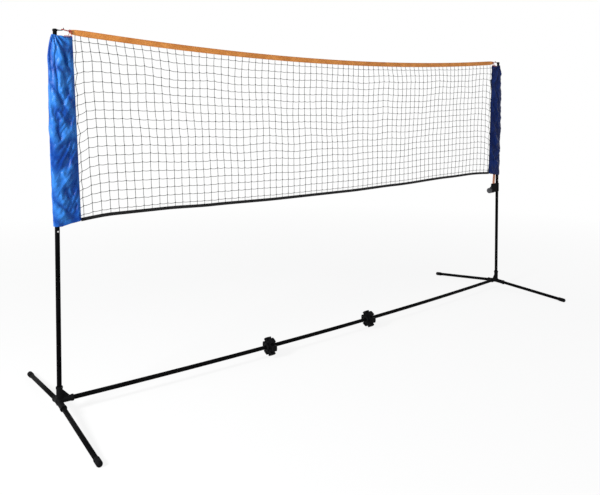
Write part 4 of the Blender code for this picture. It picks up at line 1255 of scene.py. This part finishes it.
def tame_sleeve(points, rest, side):
    """Keeps each simulated point near the sewn shape, off the other panel and off the post."""
    reach, apart = 0.010, 0.0011
    for k, (at, home) in enumerate(zip(points, rest)):
        i = k % POINTS_ACROSS
        face = -1 if i * 2 < SLEEVE_COLUMNS else 1
        s = abs(1 - 2 * i / SLEEVE_COLUMNS)
        shift = (at - home) * (0.25 + 0.75 * min(1.0, s / 0.35))
        at = home + shift * min(1.0, reach / max(shift.length, 1e-6))
        if i * 2 != SLEEVE_COLUMNS and face * at.y < apart:
            at.y = face * apart
        clear = POST_CLEAR if at.z < PASSING_Z else UPPER_R + 0.0012
        across = Vector((at.x - side * HALF_SPAN, at.y))
        if across.length < clear:
            across = across.normalized() * clear
            at.x, at.y = side * HALF_SPAN + across.x, across.y
        points[k] = at


def make_sleeve(side, word):
    """A nylon sleeve round the post: a simulated sheet with a sewn hem, seam and stitches."""
    rest, raised = sleeve_rest(side)
    faces = grid_faces(SLEEVE_ROWS + 1, POINTS_ACROSS)
    if side < 0:
        faces = [tuple(reversed(face)) for face in faces]
    sheet = link_object("sleeve_sheet", plain_mesh("sleeve_sheet", rest, faces))
    simulate_sleeve(sheet, side)
    points = [v.co.copy() for v in take_mesh(sheet).vertices]
    tame_sleeve(points, rest, side)
    piece = Shape().add(points, faces).piece(
        f"sleeve_{word}", NYLON[side], CARRIAGE,
        [f"{word}_sleeve_front", f"{word}_sleeve_back"], "blue_nylon", sharp=80,
    )
    # The fold share drives the nylon's painted shade in the creases and painted light on the fold tops.
    piece.data.attributes.new("raised", "FLOAT", "POINT").data.foreach_set("value", raised)
    skin = piece.modifiers.new("skin", "SOLIDIFY")
    skin.thickness = 0.0005
    skin.offset = 0.0
    piece.modifiers.new("finer", "SUBSURF").levels = 1
    bake_modifiers(piece)
    piece.data.shade_smooth()
    stitches = sleeve_stitches(side, word, points)


def sleeve_stitches(side, word, points):
    """Stitches down both faces of the seam beside the net, and round the two hems."""
    shape, thread = Shape(), 0.0004

    def sew(a, b, across, outward):
        """Stitches from a to b on the side of the cloth that looks outward."""
        out = across.cross(b - a).normalized()
        if out.dot(outward) < 0:
            out = -out
        count = max(1, round((b - a).length / STITCH))
        for k in range(count):
            start, end = a.lerp(b, k / count), a.lerp(b, (k + 0.76) / count)
            shape.add(*stitch_part(start + out * thread, end + out * thread, out))

    for i, face in ((3, -1), (SLEEVE_COLUMNS - 3, 1)):
        for k in range(i, SLEEVE_ROWS * POINTS_ACROSS + i, POINTS_ACROSS):
            sew(points[k], points[k + POINTS_ACROSS], points[k + 1] - points[k - 1], Vector((0, face, 0)))
    hem_row = round(HEM / (SLEEVE_TOP - SLEEVE_BOTTOM[side]) * SLEEVE_ROWS) - 1
    for j in (hem_row, SLEEVE_ROWS - 3):
        for k in range(j * POINTS_ACROSS + 1, (j + 1) * POINTS_ACROSS - 2):
            a, up = points[k], points[k + POINTS_ACROSS] - points[k - POINTS_ACROSS]
            sew(a, points[k + 1], up, a - Vector((side * (HALF_SPAN - 0.03), 0, a.z)))
    return shape.piece(f"sleeve_stitches_{word}", BLUE_THREAD, CARRIAGE, (), "blue_nylon", sharp=80)


# Corners


def make_eyelet(side, word):
    """A rolled eyelet through the tape's end."""
    hole, face, outer = 0.0028, TAPE_FACE + 0.0003, TAPE_FACE + 0.0009
    barrel, flange = hole + 0.0009, hole + 0.0024
    corners = [
        (hole, 0), (hole, outer), (flange, outer), (flange, face), (barrel, face), (barrel, -face),
        (flange, -face), (flange, -outer), (hole, -outer), (hole, 0),
    ]
    x = side * (HALF_SPAN - EYELET_IN)
    profile = list(reversed(fillet(corners, 0.0006, 4)[:-1]))
    Shape().add(*turned(profile, along((0, 1, 0), (x, 0, top_edge(x))), 36)).piece(
        f"eyelet_{word}", BRONZE, CARRIAGE, [f"tape_eyelet_{word}"], "plain_steel"
    )


def make_corner_cord(side, word):
    """The red cord from the cap's hook to the tape's eyelet, its knot and its lashing on the sleeve."""
    cord_r, knot_r, tail_r, lash_r, half = 0.0013, 0.0015, 0.0011, 0.0010, 0.0051
    eye_x, hook_x, knot_in = EYELET_IN + 0.0006, 0.0263, 0.0595
    eye_z = top_edge(side * (HALF_SPAN - EYELET_IN))
    near_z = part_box(f"corner_loop_{word}")[1].z - cord_r

    def place(inward, y, z):
        return Vector((side * (HALF_SPAN - inward), y, z))

    path = []
    for centre, first in ((eye_x - half, -90), (hook_x + half, 90)):
        for step in range(13):
            angle = math.radians(first + 15 * step)
            inward = centre + half * math.cos(angle)
            t = (inward - hook_x) / (eye_x - hook_x)
            path.append(place(inward, half * math.sin(angle), near_z + (eye_z - near_z) * t))
    shape = Shape().add(*swept(path, ring_section(cord_r, 12), closed=True))
    knot_z = near_z + (eye_z - near_z) * (knot_in - hook_x) / (eye_x - hook_x) + 0.0005
    knot, knot_steps = [], 48
    for step in range(knot_steps):
        a = 2 * math.pi * step / knot_steps
        reach = 2 + math.cos(3 * a)
        knot.append(place(
            knot_in + 0.0015 * reach * math.cos(2 * a), 0.0028 * math.sin(3 * a) - 0.0005,
            knot_z + 0.0019 * reach * math.sin(2 * a),
        ))
    shape.add(*swept(knot, ring_section(knot_r, 10), closed=True))
    for lean, drop in ((-0.0070, 0.0170), (0.0050, 0.0140)):
        tail = [
            place(knot_in, -0.0030, knot_z - 0.001),
            place(knot_in + 0.3 * lean, -0.0056, knot_z - 0.3 * drop),
            place(knot_in + 0.8 * lean, -0.0060, knot_z - 0.7 * drop),
            place(knot_in + lean, -0.0052, knot_z - drop),
        ]
        shape.add(*swept(smooth_path(tail, 5), ring_section(tail_r, 10)))
    lashing = [place(eye_x - 0.0030, -0.0029, eye_z - 0.0040)]
    turns, steps, lash_z = 4, 16, 1.5155
    for step in range(turns * steps + 1):
        a, done = 2 * math.pi * step / steps, step / (turns * steps)
        y = -(0.0040 + 0.0075 * done) * math.cos(a)
        lashing.append(place(0.0640 - 0.0290 * done, y, lash_z + 0.0060 * math.sin(a)))
    lashing.append(place(0.0310, 0.0, lash_z - 0.0005))
    shape.add(*swept(smooth_path(lashing, 2), ring_section(lash_r, 10)))
    shape.piece(f"corner_cord_{word}", RED, CARRIAGE, [f"corner_loop_{word}"], "red_cord", sharp=80)


# Tension clamp


def make_clamp():
    """The moulded clamp on the right post: a split ring, a ribbed arm and the strap's slot."""
    low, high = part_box("post_clamp")
    place = Matrix.Translation((HALF_SPAN, 0, 0))
    ring_r, ring_low, ring_high = high.x - HALF_SPAN, 0.666, 0.722
    ring = [(0, ring_high), (ring_r, ring_high), (ring_r, ring_low), (0, ring_low)]
    shape = Shape().add(*turned(fillet(ring, 0.0015, 4), place, 56))
    root, end = HALF_SPAN - TUBE_R + 0.002, low.x
    outline = [
        (root, ring_low), (root, 0.7205), (end + 0.0160, 0.7205), (end + 0.0140, 0.702), (end, 0.696),
        (end, 0.660), (end + 0.020, 0.660),
    ]
    shape.add(*prism(outline, 0.0080))
    for k in range(4):
        x = end + 0.004 + 0.011 * k
        shape.add(*box_part((x, -0.0085, 0.664), (x + 0.0022, 0.0085, 0.690)))
    body = loose_object("clamp_body", shape.points, shape.faces)
    moulded(body, 0.0009, 2)
    split = box_part((HALF_SPAN + 0.004, -0.0008, 0.64), (HALF_SPAN + 0.03, 0.0008, 0.74))
    slot_half = STRAP_WIDTH / 2 + FIT_GAP
    slot = box_part((STRAP_X - slot_half, -0.0014, 0.7126), (STRAP_X + slot_half, 0.0014, 0.73))
    inward = along((-1, 0, 0), (HALF_SPAN, 0, KNOB_Z))
    boolean_cut(body, [
        rod("bore", BORE_R, 0.62, 0.75, place, 56), loose_object("split", *split),
        loose_object("strap_slot", *slot), rod("screw_hole", SCREW_HOLE_R, 0.0, 0.09, inward, 24),
    ])
    finish_piece(
        "clamp_moulding", take_mesh(body), BLACK, CARRIAGE, ["post_clamp"], 50
    )
    make_knob(inward)


def make_knob(inward):
    """A round hand knob with grip flutes, a dished face and a small centre boss."""
    knob_r, start, end = 0.0183, 0.0741, 0.0925
    corners = [
        (0, end - 0.0004), (0.0040, end - 0.0004), (0.0044, end - 0.0022), (knob_r - 0.0062, end - 0.0018),
        (knob_r - 0.0045, end), (knob_r - 0.0012, end), (knob_r, end - 0.0028), (knob_r, start + 0.0065),
        (knob_r - 0.0020, start + 0.0045), (0.0090, start + 0.0035), (0.0080, start),
        (SCREW_HOLE_R, start), (SCREW_HOLE_R, start + 0.0064), (0, start + 0.0064),
    ]

    def flutes(angle, radius, height):
        if radius < knob_r - 0.0015 or height < start + 0.006 or height > end - 0.0012:
            return 0
        return -0.0006 * (0.5 + 0.5 * math.cos(24 * angle)) ** 2

    points, faces = turned(fillet(corners, 0.0007, 4), inward, 192, flutes)
    Shape().add(points, faces).piece(
        "hand_knob", GREY, "knob", ["clamp_knob"], "moulded_grey", sharp=38
    )


def make_strap():
    """The short strap from inside the sleeve down into the clamp's slot, a little cupped."""
    line = [(-0.0045, 0.816), (-0.0044, 0.788), (-0.0030, 0.762), (-0.0010, 0.738), (0, 0.726), (0, 0.713)]
    path = smooth_path([(0, y, z) for y, z in line], 8)
    half, thick = STRAP_WIDTH / 2, 0.0007
    corners = [(-half, 0), (-half, thick), (half, thick), (half, -thick), (-half, -thick), (-half, 0)]
    section = fillet(corners, 0.0006, 3)[:-1]
    points, cup = [], 0.0006
    for k, at in enumerate(path):
        ahead, behind = path[min(k + 1, len(path) - 1)], path[max(k - 1, 0)]
        out = Vector((1, 0, 0)).cross((ahead - behind).normalized())
        for s, u in section:
            bowed = cup * (1 - (s / half) ** 2)
            points.append(Vector((STRAP_X + s, 0, 0)) + at + out * (u + bowed))
    faces = grid_faces(len(path), len(section), wrap_columns=True) + end_faces(len(path), len(section))
    Shape().add(points, faces).piece(
        "pull_strap", STRAP_WEB, CARRIAGE, ["tension_strap"], "orange_webbing", sharp=60
    )


# What stays from the solids


KEPT = {
    "bar_spigot_left": STEEL,
    "bar_spigot_right": STEEL,
    "tube_end_bush_left": BLACK,
    "tube_end_bush_right": BLACK,
    "snap_spring_left": STEEL,
    "snap_spring_right": STEEL,
    "clamp_screw": STEEL,
}


def dress_kept_nodes():
    for node, material in KEPT.items():
        paint(frame["nodes"][node].data, material)


# Stage


WHITE = (1, 1, 1, 1)


def white_for_camera(tree, plain, white, share):
    """Mixes in a share of white for camera, gloss and transmission rays only."""
    path = add_node(tree, "ShaderNodeLightPath")
    seen = combine(tree, "MAXIMUM", path.outputs["Is Camera Ray"], path.outputs["Is Glossy Ray"])
    seen = combine(tree, "MAXIMUM", seen, path.outputs["Is Transmission Ray"])
    mix = add_node(tree, "ShaderNodeMixShader")
    tree.links.new(combine(tree, "MULTIPLY", seen, share), mix.inputs[0])
    tree.links.new(plain, mix.inputs[1])
    tree.links.new(white, mix.inputs[2])
    return mix.outputs[0]


def make_stage():
    reach = 40.0
    corners = [(-reach, -reach, 0), (reach, -reach, 0), (reach, reach, 0), (-reach, reach, 0)]
    floor = link_object("floor", plain_mesh("floor", corners, [(0, 1, 2, 3)]))
    floor.location.z = -0.0003
    made = bpy.data.materials.new("pale_floor")
    made.use_nodes = True
    tree = made.node_tree
    tree.nodes.clear()
    plain = add_node(tree, "ShaderNodeBsdfDiffuse", Color=(0.90, 0.90, 0.90, 1))
    white = add_node(tree, "ShaderNodeEmission", Color=WHITE, Strength=1.0)
    out = add_node(tree, "ShaderNodeOutputMaterial")
    place = add_node(tree, "ShaderNodeTexCoord").outputs["Object"]
    away = add_node(tree, "ShaderNodeVectorMath", operation="LENGTH")
    tree.links.new(place, away.inputs[0])
    whiter = level(tree, away.outputs["Value"], 0.86, 1.0, start=1.5, end=5.0)
    mixed = white_for_camera(tree, plain.outputs[0], white.outputs[0], whiter)
    tree.links.new(mixed, out.inputs["Surface"])
    paint(floor.data, made)


def make_world():
    world = bpy.data.worlds.new("studio")
    world.use_nodes = True
    bpy.context.scene.world = world
    tree = world.node_tree
    tree.nodes.clear()
    plain = add_node(tree, "ShaderNodeBackground", Color=(0.97, 0.985, 1.0, 1), Strength=0.36)
    white = add_node(tree, "ShaderNodeBackground", Color=WHITE, Strength=1.0)
    out = add_node(tree, "ShaderNodeOutputWorld")
    mixed = white_for_camera(tree, plain.outputs[0], white.outputs[0], 1.0)
    tree.links.new(mixed, out.inputs["Surface"])


def add_light(name, place, target, size, power):
    light = bpy.data.lights.new(name, "AREA")
    light.shape = "DISK"
    light.size = size
    light.energy = power
    aim_object(link_object(name, light), Vector(place), Vector(target) - Vector(place))


def aim_object(obj, place, direction):
    obj.location = place
    obj.rotation_euler = direction.to_track_quat("-Z", "Y").to_euler()


def make_lights():
    add_light("key", (-4.4, -0.85, 2.2), (-1.2, 0, 1.1), size=1.0, power=200)
    add_light("fill", (1.0, -5.0, 3.2), (0.1, 0, 0.9), size=3.0, power=80)


def make_camera():
    camera = bpy.data.cameras.new("camera")
    camera.lens = CAMERA_LENS
    camera.shift_y = CAMERA_SHIFT
    camera.clip_end = 200
    heading = Vector((math.cos(CAMERA_HEADING), math.sin(CAMERA_HEADING), -math.tan(CAMERA_PITCH)))
    obj = link_object("camera", camera)
    aim_object(obj, CAMERA_PLACE, heading)
    bpy.context.scene.camera = obj
    bpy.context.scene.view_settings.view_transform = "Standard"


make_camera()
make_world()
make_lights()
make_stage()
make_feet()
make_connectors()
make_bar()
make_posts()
make_net()
make_tapes()
for side, word in SIDES:
    make_sleeve(side, word)
for side, word in SIDES:
    make_eyelet(side, word)
    make_corner_cord(side, word)
make_clamp()
make_strap()
dress_kept_nodes()
